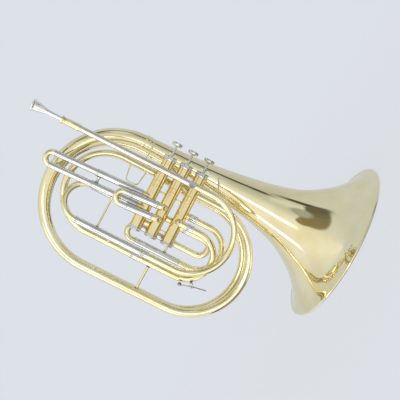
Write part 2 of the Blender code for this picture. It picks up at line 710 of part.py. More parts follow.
def make_mouthpipe():
    foot = Vector((LEADPIPE_FOOT_X, LEADPIPE_Y, LEADPIPE_FOOT_Z))
    top = Vector((LEADPIPE_TOP_X, LEADPIPE_Y, LEADPIPE_TOP_Z))
    up = (top - foot).normalized()
    tube("leadpipe", [foot, top], [], (LEADPIPE_FOOT_RADIUS, LEADPIPE_TOP_RADIUS), NICKEL)

    pipe_seat = LEADPIPE_TOP_RADIUS / math.cos(math.pi / TUBE_SIDES) + SEAT_GAP
    outer = pipe_seat + RECEIVER_WALL
    ring = outer + RECEIVER_RING_RISE
    ledge = RECEIVER_OVERLAP + SEAT_GAP
    mouth = SHANK_TOP_RADIUS / math.cos(math.pi / TUBE_SIDES) + SEAT_GAP
    narrow = SHANK_END_RADIUS / math.cos(math.pi / TUBE_SIDES) + SEAT_GAP
    ring_z = RECEIVER_LENGTH - RECEIVER_RING_LENGTH
    turned("mouthpiece_receiver",
           [(pipe_seat, 0), (pipe_seat, ledge), (narrow, ledge + RECEIVER_STEP), (mouth, RECEIVER_LENGTH),
            (ring, RECEIVER_LENGTH), (ring, ring_z), (outer, ring_z - RECEIVER_RING_RISE), (outer, 0)],
           top - up * RECEIVER_OVERLAP, up, LACQUER)

    mouth_at = top + up * (RECEIVER_LENGTH - RECEIVER_OVERLAP)
    cup_foot = MOUTHPIECE_LENGTH - MOUTHPIECE_CUP_LENGTH
    bowl = cup_foot + MOUTHPIECE_BOWL_RISE
    rim_foot = MOUTHPIECE_LENGTH - MOUTHPIECE_RIM_DEPTH
    mover = pivot_empty("mouthpiece_mover", mouth_at)
    turned("mouthpiece",
           [(SHANK_END_RADIUS, 0), (SHANK_TOP_RADIUS, SHANK_INSERTION),
            (MOUTHPIECE_NECK_RADIUS, cup_foot - MOUTHPIECE_NECK_LENGTH), (MOUTHPIECE_FOOT_RADIUS, cup_foot),
            (MOUTHPIECE_BOWL_RADIUS, bowl),
            (MOUTHPIECE_RIM_RADIUS - MOUTHPIECE_RIM_OVERHANG, rim_foot - MOUTHPIECE_RIM_OVERHANG),
            (MOUTHPIECE_RIM_RADIUS, rim_foot),
            (MOUTHPIECE_RIM_RADIUS, MOUTHPIECE_LENGTH - MOUTHPIECE_RIM_BEVEL),
            (MOUTHPIECE_RIM_RADIUS - MOUTHPIECE_RIM_BEVEL, MOUTHPIECE_LENGTH),
            (MOUTHPIECE_CUP_RADIUS + MOUTHPIECE_RIM_BITE, MOUTHPIECE_LENGTH),
            (MOUTHPIECE_CUP_RADIUS - MOUTHPIECE_RIM_BITE, rim_foot),
            (MOUTHPIECE_BOWL_RADIUS - MOUTHPIECE_BOWL_WALL, bowl), (THROAT_RADIUS, cup_foot),
            (THROAT_RADIUS, cup_foot - THROAT_LENGTH), (SHANK_END_RADIUS - SHANK_WALL, 0)],
           mouth_at - up * SHANK_INSERTION, up, SILVER, CASING_SIDES, carrier=mover)

    bend = (LEAD_BOW_X - MAIN_LOWER_X) / 2
    tube("leadpipe_bow",
         [(LEADPIPE_FOOT_X, LEADPIPE_Y, LEADPIPE_FOOT_Z - SEAT_GAP), (LEAD_BOW_X, LEADPIPE_Y, LEAD_BOW_Z),
          (MAIN_LOWER_X, MAIN_LOWER_Y, LEAD_BOW_Z), (MAIN_LOWER_X, MAIN_LOWER_Y, MAIN_SLEEVE_START_Z)],
         [bend, bend], BOW_RADIUS, LACQUER, step=LARGE_BEND_STEP)


def u_slide(name, upper, lower, along, reach, look, carrier):
    """A slide: two legs from their end points, and the bow that joins them at its full reach."""
    upper = Vector(upper)
    lower = Vector(lower)
    along = Vector(along).normalized()
    far_upper = upper + along * reach
    far_lower = lower + along * reach
    spacing = (upper - lower).length
    path = [upper, far_upper, far_lower, lower]
    return tube(name, path, [spacing / 2 - BEND_PLAY] * 2, SLIDE_RADIUS, look, carrier=carrier)


def make_main_slide():
    for name, x, y, start in (
            ("main_slide_lower_sleeve", MAIN_LOWER_X, MAIN_LOWER_Y, MAIN_SLEEVE_START_Z + SEAT_GAP),
            ("main_slide_upper_sleeve", MAIN_UPPER_X, MAIN_UPPER_Y, MAIN_UPPER_START_Z)):
        tube(name, [(x, y, start), (x, y, MAIN_SLEEVE_END_Z)], [], SLEEVE_RADIUS, NICKEL,
             wall=SLEEVE_WALL)
    foot_z = MAIN_SLEEVE_END_Z - MAIN_LEG_INSERTION
    mover = pivot_empty("main_tuning_slide_mover", (MAIN_UPPER_X, MAIN_UPPER_Y, foot_z))
    u_slide("main_tuning_slide", (MAIN_UPPER_X, MAIN_UPPER_Y, foot_z), (MAIN_LOWER_X, MAIN_LOWER_Y, foot_z),
            UP, MAIN_BOW_Z - foot_z, LACQUER, mover)


def make_first_slide():
    along = tilted(FIRST_TILT)
    for name, upper in (("first_slide_upper_sleeve", True), ("first_slide_lower_sleeve", False)):
        tube(name, [first_point(upper, FIRST_SLEEVE_START), first_point(upper, FIRST_SLEEVE_END)], [],
             SLEEVE_RADIUS, NICKEL, wall=SLEEVE_WALL)
    foot = FIRST_SLEEVE_END - FIRST_LEG_INSERTION
    mover = pivot_empty("first_slide_mover", first_point(True, foot))
    u_slide("first_slide", first_point(True, foot), first_point(False, foot), along,
            FIRST_LEG_INSERTION + FIRST_BOW_REACH, NICKEL, mover)
    middle = first_point(True, FIRST_SLEEVE_END - FIRST_BRACE_DROP)
    across = (first_point(False, 0) - first_point(True, 0)).normalized()
    inset = SLEEVE_RADIUS + SEAT_GAP
    rod("first_slide_brace", [middle + across * inset, middle + across * (FIRST_SPACING - inset)], [],
        FIRST_BRACE_RADIUS, NICKEL)


def make_second_slide():
    along = tilted(SECOND_TILT)
    front = FRONT_KNUCKLE_Y - SEAT_GAP
    port_z = VALVE_2_Z + SECOND_PORT_SHIFT
    turns = {}
    for name, x in (("second_slide_upper_sleeve", SECOND_UPPER_X),
                    ("second_slide_lower_sleeve", SECOND_UPPER_X - SECOND_SPACING)):
        turn = Vector((x, SECOND_Y, port_z))
        turns[name] = turn
        tube(name, [(x, front, port_z), turn, turn + along * SECOND_SLEEVE_LENGTH],
             [SECOND_ELBOW_RADIUS], SLEEVE_RADIUS, NICKEL, wall=SLEEVE_WALL,
             reference=BUTTONWARDS)
    foot = SECOND_SLEEVE_LENGTH - SECOND_LEG_INSERTION
    upper = turns["second_slide_upper_sleeve"] + along * foot
    lower = turns["second_slide_lower_sleeve"] + along * foot
    mover = pivot_empty("second_slide_mover", upper)
    u_slide("second_slide", upper, lower, along, SECOND_LEG_INSERTION + SECOND_BOW_REACH, NICKEL, mover)


def make_third_tubing():
    knuckle_z = VALVE_3_Z - KNUCKLE_REACH - SEAT_GAP
    bend = (THIRD_OUT_X - THIRD_LOWER_X) / 2
    tube("third_valve_outer_bow",
         [(THIRD_OUT_X, VALVE_Y, knuckle_z), (THIRD_OUT_X, VALVE_Y, THIRD_BOW_Z),
          (THIRD_LOWER_X, THIRD_Y, THIRD_BOW_Z), (THIRD_LOWER_X, THIRD_Y, THIRD_LOWER_START_Z)],
         [bend, bend], BOW_RADIUS, LACQUER, step=LARGE_BEND_STEP)
    bend = (THIRD_RETURN_X - THIRD_UPPER_X) / 2
    tube("third_valve_inner_bow",
         [(THIRD_RETURN_X, VALVE_Y, knuckle_z), (THIRD_RETURN_X, VALVE_Y, THIRD_RETURN_Z),
          (THIRD_UPPER_X, THIRD_Y, THIRD_RETURN_Z), (THIRD_UPPER_X, THIRD_Y, THIRD_UPPER_START_Z)],
         [bend, bend], BOW_RADIUS, LACQUER)
    for name, x, start in (("third_slide_upper_sleeve", THIRD_UPPER_X, THIRD_UPPER_START_Z),
                           ("third_slide_lower_sleeve", THIRD_LOWER_X, THIRD_LOWER_START_Z)):
        tube(name, [(x, THIRD_Y, start + SEAT_GAP), (x, THIRD_Y, THIRD_SLEEVE_END_Z)], [],
             SLEEVE_RADIUS, NICKEL, wall=SLEEVE_WALL)
    foot_z = THIRD_SLEEVE_END_Z - THIRD_LEG_INSERTION
    mover = pivot_empty("third_slide_mover", (THIRD_UPPER_X, THIRD_Y, foot_z))
    u_slide("third_slide", (THIRD_UPPER_X, THIRD_Y, foot_z), (THIRD_LOWER_X, THIRD_Y, foot_z),
            UP, THIRD_LEG_INSERTION + THIRD_SLIDE_REACH, LACQUER, mover)


def make_inner_loop():
    front = FRONT_KNUCKLE_Y - SEAT_GAP
    bend = (EXIT_X - LOOP_LOWER_X) / 2
    tube("exit_bow",
         [(EXIT_X, front, VALVE_3_Z), (EXIT_X, EXIT_Y, VALVE_3_Z), (EXIT_X, EXIT_Y, EXIT_BOW_Z),
          (LOOP_LOWER_X, LOOP_Y, EXIT_BOW_Z), (LOOP_LOWER_X, LOOP_Y, LOOP_JOINT_Z)],
         [EXIT_ELBOW_RADIUS, bend, bend], LOOP_RADIUS, LACQUER, step=LARGE_BEND_STEP,
         reference=BUTTONWARDS)
    bend = (LOOP_UPPER_X - LOOP_LOWER_X) / 2
    front_bend = (TURN_FRONT_X - TURN_OUTER_X) / 2 - BEND_PLAY
    rear_bend = (TURN_TAIL_X - TURN_OUTER_X) / 2 - BEND_PLAY
    tube("inner_loop_bow",
         [(LOOP_LOWER_X, LOOP_Y, LOOP_JOINT_Z + SEAT_GAP), (LOOP_LOWER_X, LOOP_Y, LOOP_BOW_Z),
          (LOOP_UPPER_X, LOOP_Y, LOOP_BOW_Z), (LOOP_UPPER_X, LOOP_Y, TURN_LEAVING_Z),
          (TURN_FRONT_X, TURN_FRONT_Y, TURN_BEHIND_Z), (TURN_FRONT_X, TURN_FRONT_Y, TURN_FRONT_Z),
          (TURN_OUTER_X, TURN_OUTER_Y, TURN_FRONT_Z), (TURN_OUTER_X, TURN_OUTER_Y, TURN_REAR_Z),
          (TURN_TAIL_X, TURN_TAIL_Y, TURN_REAR_Z), (TURN_TAIL_X, TURN_TAIL_Y, TURN_RETURN_Z),
          (LOOP_UPPER_X, LOOP_Y, TURN_RETURN_Z - TURN_SHIFT_LENGTH),
          (LOOP_UPPER_X, LOOP_Y, FRONT_BOW_START_Z + SEAT_GAP)],
         [bend - BEND_PLAY] * 2 + [TURN_SHIFT_BEND] * 2 + [front_bend] * 2 + [rear_bend] * 2
         + [TURN_SHIFT_BEND] * 2,
         (LOOP_RADIUS, FRONT_BOW_START_RADIUS), LACQUER, step=LARGE_BEND_STEP)


def make_ferrules():
    lead_z = MAIN_SLEEVE_START_Z - FERRULE_LENGTH / 2 - FERRULE_SETBACK
    ferrule("lead_bow_ferrule", (MAIN_LOWER_X, MAIN_LOWER_Y, lead_z), UP, BOW_RADIUS)
    ferrule("exit_ferrule", (LOOP_LOWER_X, LOOP_Y, LOOP_JOINT_Z), UP, LOOP_RADIUS)
    tail_z = BELL_TAIL_Z - FERRULE_LENGTH / 4
    ferrule("bell_ferrule", (0, 0, tail_z), UP, bell_radius(tail_z - FERRULE_LENGTH / 2), LACQUER)


def strut(name, start, start_radius, end, end_radius, radius):
    """A straight brace with flared feet, between the walls of two tubes given by points on their axes."""
    start = Vector(start)
    end = Vector(end)
    along = (end - start).normalized()
    a = start + along * (start_radius + SEAT_GAP)
    b = end - along * (end_radius + SEAT_GAP)
    stops = [(radius * FOOT_FLARE, 0.0), (radius, FOOT_LENGTH)]
    length = (b - a).length
    stops += [(radius, length - FOOT_LENGTH), (radius * FOOT_FLARE, length)]
    return spindle(name, stops, a, along, LACQUER, WIRE_SIDES, UP)


def make_braces():
    slide_brace_z = MAIN_SLEEVE_END_Z - SLIDE_BRACE_DROP
    first_axis = first_point(False, (slide_brace_z - VALVE_1_Z) / math.cos(math.radians(FIRST_TILT)))
    strut("slide_brace", first_axis, SLEEVE_RADIUS, (MAIN_LOWER_X, MAIN_LOWER_Y, slide_brace_z),
          SLEEVE_RADIUS, BRACE_RADIUS)
    branch_z = LOOP_JOINT_Z - BRANCH_BRACE_DROP
    strut("branch_brace", (LOOP_LOWER_X, LOOP_Y, branch_z), LOOP_RADIUS,
          (-BRANCH_OFFSET, 0, branch_z), BRANCH_RADIUS, BRANCH_BRACE_RADIUS)
    loop_z = MAIN_SLEEVE_END_Z - SLIDE_LOOP_BRACE_DROP
    strut("slide_loop_brace", (MAIN_LOWER_X, MAIN_LOWER_Y, loop_z), SLEEVE_RADIUS,
          (LOOP_LOWER_X, LOOP_Y, loop_z), LOOP_RADIUS, BRACE_RADIUS)
    third_z = THIRD_SLEEVE_END_Z - THIRD_BRACE_DROP
    strut("third_slide_brace", (THIRD_LOWER_X, THIRD_Y, third_z), SLEEVE_RADIUS,
          (THIRD_UPPER_X, THIRD_Y, third_z), SLEEVE_RADIUS, BRACE_RADIUS)

    tail_z = BELL_TAIL_Z - TAIL_BRACE_DROP
    tail = bell_radius(tail_z) + SEAT_GAP
    pipe = leadpipe_point(tail_z)
    start = Vector((TAIL_BRACE_SIDE, -math.sqrt(tail ** 2 - TAIL_BRACE_SIDE ** 2), tail_z))
    along = (pipe - start).normalized()
    end = pipe - along * (LEADPIPE_FOOT_RADIUS + SEAT_GAP)
    rod("leadpipe_brace", [start + along * 2 * WIRE_RADIUS, end], [], WIRE_RADIUS, LACQUER, reference=UP)

    top = VALVE_1_Z + LOOP_WIRE_RISE
    low = top - LOOP_WIRE_SPAN
    beside = first_point(True, ((top + low) / 2 - VALVE_1_Z) / math.cos(math.radians(FIRST_TILT)))
    wire_x = beside.x + SLEEVE_RADIUS + SEAT_GAP + WIRE_RADIUS + LOOP_WIRE_SPARE
    loop_x = LOOP_UPPER_X - FRONT_BOW_START_RADIUS - SEAT_GAP - WIRE_RADIUS / 2
    rod("loop_wire_brace",
        [(loop_x, LOOP_Y, top), (wire_x, FIRST_Y, top - LOOP_WIRE_TAPER),
         (wire_x, FIRST_Y, low + LOOP_WIRE_TAPER), (loop_x, LOOP_Y, low)],
        [LOOP_WIRE_BEND] * 2, WIRE_RADIUS, LACQUER, reference=UP)

    reach = bell_radius(S_WIRE_FOOT_Z) + SEAT_GAP + WIRE_RADIUS
    foot = Vector((S_WIRE_FOOT_X, -math.sqrt(reach ** 2 - S_WIRE_FOOT_X ** 2), S_WIRE_FOOT_Z))
    end = Vector((LEAD_BOW_X + BOW_RADIUS + SEAT_GAP + S_WIRE_SPARE, LEADPIPE_Y, S_WIRE_END_Z))
    middle = Vector((end.x + S_WIRE_BULGE, (foot.y + end.y) / 2, (foot.z + end.z) / 2 + S_WIRE_LIFT))
    rod("bell_wire_brace", [foot, middle, end], [S_WIRE_BEND], WIRE_RADIUS, LACQUER, reference=UP)


def leadpipe_point(z):
    """A point on the leadpipe's axis at a height."""
    share = (z - LEADPIPE_FOOT_Z) / (LEADPIPE_TOP_Z - LEADPIPE_FOOT_Z)
    return Vector((LEADPIPE_FOOT_X + (LEADPIPE_TOP_X - LEADPIPE_FOOT_X) * share, LEADPIPE_Y, z))


def make_water_key():
    bend = (EXIT_X - LOOP_LOWER_X) / 2
    centre_x = (EXIT_X + LOOP_LOWER_X) / 2
    centre_z = EXIT_BOW_Z + bend
    angle = math.radians(KEY_ANGLE)
    share = (90 + KEY_ANGLE) / 180
    depth = EXIT_Y + (LOOP_Y - EXIT_Y) * share

    def around(radius, turn=0.0):
        """A point (x, z) at a distance from the bow's centre, turned on from the key's angle."""
        a = angle + math.radians(turn)
        return centre_x - radius * math.sin(a), centre_z - radius * math.cos(a)

    surface = bend + LOOP_RADIUS + SEAT_GAP + KEY_SADDLE_LIFT
    pivot_x, pivot_z = around(bend + KEY_PIVOT_REACH)
    pivot = Vector((pivot_x, depth, pivot_z))
    outward = Vector((-math.sin(angle), 0, -math.cos(angle)))
    tangent = Vector((math.cos(angle), 0, -math.sin(angle)))
    ear_inner = KEY_WIDTH / 2 + SEAT_GAP
    ear_outer = ear_inner + KEY_EAR_THICKNESS
    base = surface - (bend + KEY_PIVOT_REACH)

    floor = base + KEY_SADDLE_FLOOR
    profile = [(-ear_outer, base), (ear_outer, base), (ear_outer, KEY_EAR_REACH), (ear_inner, KEY_EAR_REACH),
               (ear_inner, floor), (-ear_inner, floor), (-ear_inner, KEY_EAR_REACH),
               (-ear_outer, KEY_EAR_REACH)]
    points = []
    for side in (-KEY_SADDLE_LENGTH / 2, KEY_SADDLE_LENGTH / 2):
        for across, out in profile:
            points.append(pivot + DEPTH * across + outward * out + tangent * side)
    count = len(profile)
    faces = [tuple(range(count)), tuple(reversed(range(count, 2 * count)))] + stitch(0, count, count)
    saddle = solid("water_key_saddle", points, faces, NICKEL)
    through = DEPTH * (ear_outer + OVERCUT)
    hole = rod("water_key_saddle_hole", [pivot - through, pivot + through], [],
               KEY_PIN_RADIUS + KEY_PIN_CLEARANCE, NICKEL, TUBE_SIDES, UP)
    combine(saddle, hole, "DIFFERENCE")
    pin_half = DEPTH * (ear_outer + KEY_PIN_END)
    rod("water_key_pin", [pivot - pin_half, pivot + pin_half], [], KEY_PIN_RADIUS, STEEL, TUBE_SIDES, UP)

    mover = pivot_empty("water_key_mover", pivot)
    pad_turn = math.degrees(KEY_PAD_ARM / (bend + KEY_PIVOT_REACH))
    cup_x, cup_z = around(surface + KEY_CORK_LENGTH + SEAT_GAP, pad_turn)
    cup_at = Vector((cup_x, depth, cup_z))
    to_tube = (Vector((centre_x, depth, centre_z)) - cup_at).normalized()
    arm = (cup_at - pivot).normalized()
    finger = (outward * KEY_FINGER_RISE / 2 - arm * KEY_FINGER_ARM).normalized()
    end = pivot + finger * KEY_FINGER_ARM
    cup_back = cup_at - to_tube * KEY_CUP_WALL / 2
    thick = KEY_ARM_THICKNESS / 2

    def beside(point, direction, offset):
        return point + Vector((-direction.z, 0, direction.x)) * offset

    outline = [beside(cup_back, arm, thick), beside(pivot, arm, KEY_HUB_RADIUS),
               beside(end, -finger, thick), beside(end, -finger, -thick),
               beside(pivot, arm, -KEY_HUB_RADIUS), beside(cup_back, arm, -thick)]
    lever = plate("water_key_lever", [(p.x, p.z) for p in outline],
                  depth - KEY_WIDTH / 2, depth + KEY_WIDTH / 2, NICKEL, mover)
    cup = spindle("water_key_lever_cup", [(KEY_CUP_RADIUS, -KEY_CUP_WALL), (KEY_CUP_RADIUS, 0.0)],
                  cup_at, to_tube, NICKEL, carrier=mover)
    combine(lever, cup, "UNION")
    bore = rod("water_key_lever_hole", [pivot - through, pivot + through], [],
               KEY_PIN_RADIUS + KEY_PIN_CLEARANCE, NICKEL, TUBE_SIDES, UP)
    combine(lever, bore, "DIFFERENCE")
    spindle("water_key_cork", [(KEY_CORK_RADIUS, SEAT_GAP), (KEY_CORK_RADIUS, KEY_CORK_LENGTH)],
            cup_at, to_tube, CORK, carrier=mover)


def make_lyre_holder():
    axis = leadpipe_point(LYRE_Z)
    back = LEADPIPE_Y - BOW_RADIUS - SEAT_GAP
    front = back - LYRE_DEPTH
    half = LYRE_WIDTH / 2
    holder = block("lyre_holder", (axis.x - half, front, LYRE_Z - half),
                   (axis.x + half, back, LYRE_Z + half), NICKEL)
    middle = (front + back) / 2
    slot = LYRE_HOLE / 2
    socket = block("lyre_holder_socket", (axis.x - half - OVERCUT, middle - slot, LYRE_Z - slot),
                   (axis.x + half + OVERCUT, middle + slot, LYRE_Z + slot), NICKEL)
    combine(holder, socket, "DIFFERENCE")
    screw_hole = rod("lyre_holder_screw_hole",
                     [(axis.x, front - OVERCUT, LYRE_Z), (axis.x, middle, LYRE_Z)], [],
                     LYRE_SCREW_RADIUS + LYRE_SCREW_CLEARANCE, NICKEL, TUBE_SIDES, UP)
    combine(holder, screw_hole, "DIFFERENCE")
    mover = pivot_empty("lyre_screw_mover", (axis.x, front, LYRE_Z))
    tip = middle - slot - SEAT_GAP
    head_back = front - SEAT_GAP
    head_front = head_back - LYRE_HEAD_LENGTH
    spindle("lyre_screw",
            [(LYRE_SCREW_RADIUS, tip), (LYRE_SCREW_RADIUS, head_back),
             (LYRE_HEAD_RADIUS - LYRE_HEAD_BEVEL, head_back),
             (LYRE_HEAD_RADIUS, head_back - LYRE_HEAD_BEVEL),
             (LYRE_HEAD_RADIUS, head_front + LYRE_HEAD_BEVEL),
             (LYRE_HEAD_RADIUS - LYRE_HEAD_BEVEL, head_front)],
            (axis.x, 0, LYRE_Z), DEPTH, NICKEL, TUBE_SIDES, UP, mover)


def main():
    clear_scene()
    make_bell()
    make_main_branch()
    make_casings()
    for number, z in ((1, VALVE_1_Z), (2, VALVE_2_Z), (3, VALVE_3_Z)):
        make_valve(number, z)
    make_mouthpipe()
    make_main_slide()
    make_first_slide()
    make_second_slide()
    make_third_tubing()
    make_inner_loop()
    make_ferrules()
    make_braces()
    make_water_key()
    make_lyre_holder()


main()
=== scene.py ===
# %% [markdown]
# # A marching french horn
# The horn stands on the rim of its bell with its mouthpiece up, as its parts were measured.
# Nearly all of it is round tube, so this lesson makes three tools and uses them again and
# again: a Geometry Nodes tree that draws tube along a path, a lathe for turned pieces, and a
# few metal finishes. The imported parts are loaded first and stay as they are. Each piece made
# here stands where one of them is, and rides on the same moving body.

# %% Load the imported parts
import math

import bmesh
import bpy
from mathutils import Matrix, Vector


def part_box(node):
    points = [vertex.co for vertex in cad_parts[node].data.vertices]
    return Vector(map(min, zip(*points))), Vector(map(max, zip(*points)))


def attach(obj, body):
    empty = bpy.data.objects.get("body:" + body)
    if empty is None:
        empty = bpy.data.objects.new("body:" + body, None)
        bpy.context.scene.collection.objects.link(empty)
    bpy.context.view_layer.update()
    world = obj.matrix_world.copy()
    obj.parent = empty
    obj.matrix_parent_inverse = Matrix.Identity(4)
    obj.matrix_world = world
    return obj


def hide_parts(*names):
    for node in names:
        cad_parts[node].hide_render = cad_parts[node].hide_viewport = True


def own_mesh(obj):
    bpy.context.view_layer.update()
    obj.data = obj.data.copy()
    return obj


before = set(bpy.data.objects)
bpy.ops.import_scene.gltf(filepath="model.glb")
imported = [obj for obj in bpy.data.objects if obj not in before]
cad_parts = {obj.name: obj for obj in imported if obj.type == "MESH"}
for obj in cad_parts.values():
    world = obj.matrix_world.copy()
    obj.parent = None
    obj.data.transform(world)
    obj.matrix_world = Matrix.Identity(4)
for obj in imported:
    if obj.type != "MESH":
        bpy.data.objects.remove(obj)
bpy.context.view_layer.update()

# %% [markdown]
# Sizes are written in millimetres, with x measured from the bell's axis towards the finger
# buttons, because that is how a maker would draw the horn. One function turns such a point
# into Blender's metres, and moves it along x by the distance between the bell's axis and the
# middle of the whole horn.

# %% Millimetres to metres
MM = 0.001
bell_low, bell_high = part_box("bell")
AXIS_X = (bell_low[0] + bell_high[0]) / 2 / MM
UP = Vector((0, 0, 1))
DEPTH = Vector((0, 1, 0))
BUTTONWARDS = Vector((1, 0, 0))


def at(point):
    return (Vector(point) + Vector((AXIS_X, 0, 0))) * MM


# %% [markdown]
# Colours are written as the hex values that a colour picker shows. Blender's shaders work in
# linear light, so one function converts them. Another adds a node with its settings, its
# links and the stops of a colour ramp, which keeps every material below to a few lines.

# %% Colours and nodes
def linear(code):
    """A hex colour as linear red, green, blue and alpha."""
    values = [int(code[i:i + 2], 16) / 255 for i in (1, 3, 5)]
    return [v / 12.92 if v <= 0.04045 else ((v + 0.055) / 1.055) ** 2.4 for v in values] + [1.0]


def set_links(tree, node, links):
    """A link is (source, input). A source is a socket, a node's first output or a constant."""
    for source, target in links:
        if isinstance(source, bpy.types.Node):
            source = source.outputs[0]
        if isinstance(source, bpy.types.NodeSocket):
            tree.links.new(source, node.inputs[target])
        else:
            node.inputs[target].default_value = source


def add_node(tree, kind, links=(), stops=(), **settings):
    """A node. A setting is an input or else a property, and a stop of a colour ramp is
    (position, hex colour)."""
    node = tree.nodes.new(kind)
    for name, value in settings.items():
        title = name.replace("_", " ").title()
        if title in node.inputs:
            node.inputs[title].default_value = value
        else:
            setattr(node, name, value)
    set_links(tree, node, links)
    if stops:
        ramp = node.color_ramp.elements
        for end, (position, code) in enumerate((stops[0], stops[-1])):
            ramp[end].position = position
            ramp[end].color = linear(code)
        for position, code in stops[1:-1]:
            ramp.new(position).color = linear(code)
    return node


def new_material(name):
    made = bpy.data.materials.new(name)
    made.use_nodes = True
    return made, made.node_tree, made.node_tree.nodes["Principled BSDF"]


# %% [markdown]
# ## Metal finishes
# Lacquered brass is yellow brass sheet, buffed and sprayed with clear lacquer. The lacquer
# pools a little, so the colour drifts between a paler and a deeper gold over a few
# centimetres, and buffing leaves haze at a finer scale. The valve casings are drawn brass
# tube, a deeper gold than the sheet. Nickel silver is a white copper alloy that is polished
# but not lacquered, and the leadpipe, where hands hold the horn, is nickel silver that has
# warmed a little. Silver plate is whiter still. Spring wire is drawn through a die, which
# leaves it grey and dull, and the nickel of the small fittings has worn dark. All of them are
# one recipe with other numbers: a slow colour noise, a fine roughness noise and a very small
# bump, read from Object coordinates so that they stay on the metal. Real buffing marks are
# finer than the picture can show, so the haze is drawn as coarse as a millimetre.

# %% Polished metal
SMEAR_MM = 14
LACQUER_ROUGHNESS = 0.04
RIPPLE_DEPTH = 0.00008


def polished_metal(name, pale, deep, rough, haze, drift_mm=45, grain_mm=1.2, coat=0.0):
    """Metal whose colour drifts between two tones and whose polish varies by a little haze."""
    made, tree, shader = new_material(name)
    place = add_node(tree, "ShaderNodeTexCoord").outputs["Object"]
    drift = add_node(tree, "ShaderNodeTexNoise", [(place, "Vector")],
                     scale=1000 / drift_mm, detail=3.0, roughness=0.5)
    tone = add_node(tree, "ShaderNodeValToRGB", [(drift, "Fac")], stops=((0.35, deep), (0.65, pale)))
    fine = add_node(tree, "ShaderNodeTexNoise", [(place, "Vector")],
                    scale=1000 / grain_mm, detail=2.0, roughness=0.6)
    smear = add_node(tree, "ShaderNodeTexNoise", [(place, "Vector")],
                     scale=1000 / SMEAR_MM, detail=4.0, roughness=0.55)
    both = add_node(tree, "ShaderNodeMath", [(fine, 0), (smear, 1)], operation="MULTIPLY")
    polish = add_node(tree, "ShaderNodeMapRange", [(both, "Value")],
                      from_min=0.12, from_max=0.42, to_min=rough, to_max=rough + haze)
    ripple = add_node(tree, "ShaderNodeBump", [(smear, "Height")], strength=0.12, distance=RIPPLE_DEPTH)
    set_links(tree, shader, [(1.0, "Metallic"), (coat, "Coat Weight"), (tone, "Base Color"),
                             (LACQUER_ROUGHNESS, "Coat Roughness"), (polish, "Roughness"),
                             (ripple, "Normal")])
    return made


BRASS = polished_metal("clear_lacquered_yellow_brass", "#F5EDCA", "#EFE2B3", 0.035, 0.045, coat=0.2)
DRAWN_BRASS = polished_metal("clear_lacquered_drawn_brass", "#F5E5B4", "#EBD89C", 0.04, 0.045, coat=0.2)
WARM_NICKEL = polished_metal("hand_worn_nickel_silver", "#E9E2D8", "#D8D0C5", 0.06, 0.08, drift_mm=60)
NICKEL = polished_metal("polished_nickel_silver", "#E2E2E0", "#CFCFCD", 0.06, 0.08, drift_mm=60)
SILVER = polished_metal("bright_silver_plate", "#F6F5F3", "#ECEAE6", 0.08, 0.06, drift_mm=30)
SPRING_STEEL = polished_metal("drawn_spring_steel_wire", "#A7A8AB", "#8B8D91", 0.22, 0.12, grain_mm=0.5)
DARK_NICKEL = polished_metal("worn_nickel_on_small_fittings", "#B9B9B8", "#8E8F90", 0.14, 0.12,
                             drift_mm=12)
print("metals made")

# %% [markdown]
# Cork is the one material on the horn that isn't metal. It is cut across its growth, so it
# shows soft brown cells with darker pores between them, and it never shines. Real cells are
# far smaller, and are drawn 0.8 mm wide so that they show.

# %% Cork
CELL_MM = 0.8
PORE_DEPTH = 0.0002


def natural_cork():
    made, tree, shader = new_material("natural_cork")
    place = add_node(tree, "ShaderNodeTexCoord").outputs["Object"]
    cells = add_node(tree, "ShaderNodeTexVoronoi", [(place, "Vector")], scale=1000 / CELL_MM)
    tone = add_node(tree, "ShaderNodeValToRGB", [(cells, "Fac")],
                    stops=((0.0, "#B98A5C"), (1.0, "#6F4A2B")))
    pores = add_node(tree, "ShaderNodeBump", [(cells, "Height")], strength=0.4, distance=PORE_DEPTH)
    set_links(tree, shader, [(0.85, "Roughness"), (tone, "Base Color"), (pores, "Normal")])
    return made


CORK = natural_cork()

# %% [markdown]
# ## Finishing a piece
# Whatever makes a piece, it ends the same way: the modifiers are turned into a plain mesh,
# its faces point outwards, it is shaded smooth with crisp edges kept, it is told which
# body it rides on, and the imported part that it stands for is hidden.

# %% Finish a piece
CRISP_DEGREES = 35.0
WELD_METRES = 0.000004


def plain_mesh(piece):
    graph = bpy.context.evaluated_depsgraph_get()
    made = bpy.data.meshes.new_from_object(piece.evaluated_get(graph))
    piece.modifiers.clear()
    piece.data = made


def finish_piece(piece, material, body="horn_body", node=None):
    """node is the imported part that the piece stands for."""
    plain_mesh(piece)
    shape = bmesh.new()
    shape.from_mesh(piece.data)
    bmesh.ops.remove_doubles(shape, verts=shape.verts, dist=WELD_METRES)
    bmesh.ops.recalc_face_normals(shape, faces=shape.faces)
    shape.to_mesh(piece.data)
    shape.free()
    piece.data.shade_smooth()
    piece.data.set_sharp_from_angle(angle=math.radians(CRISP_DEGREES))
    piece.data.materials.clear()
    piece.data.materials.append(material)
    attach(piece, body)
    if node:
        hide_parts(node)
    return piece


def add_object(name, data):
    made = bpy.data.objects.new(name, data)
    bpy.context.scene.collection.objects.link(made)
    return made


def new_object(name, points, edges=()):
    """An object at the origin, from points in metres and the edges between them."""
    mesh = bpy.data.meshes.new(name)
    mesh.from_pydata([tuple(p) for p in points], list(edges), [])
    return add_object(name, mesh)


def lay_onto(axis, foot):
    """The matrix that turns z onto an axis and carries the origin to a point."""
    turn = UP.rotation_difference(Vector(axis).normalized()).to_matrix().to_4x4()
    return Matrix.Translation(at(foot)) @ turn


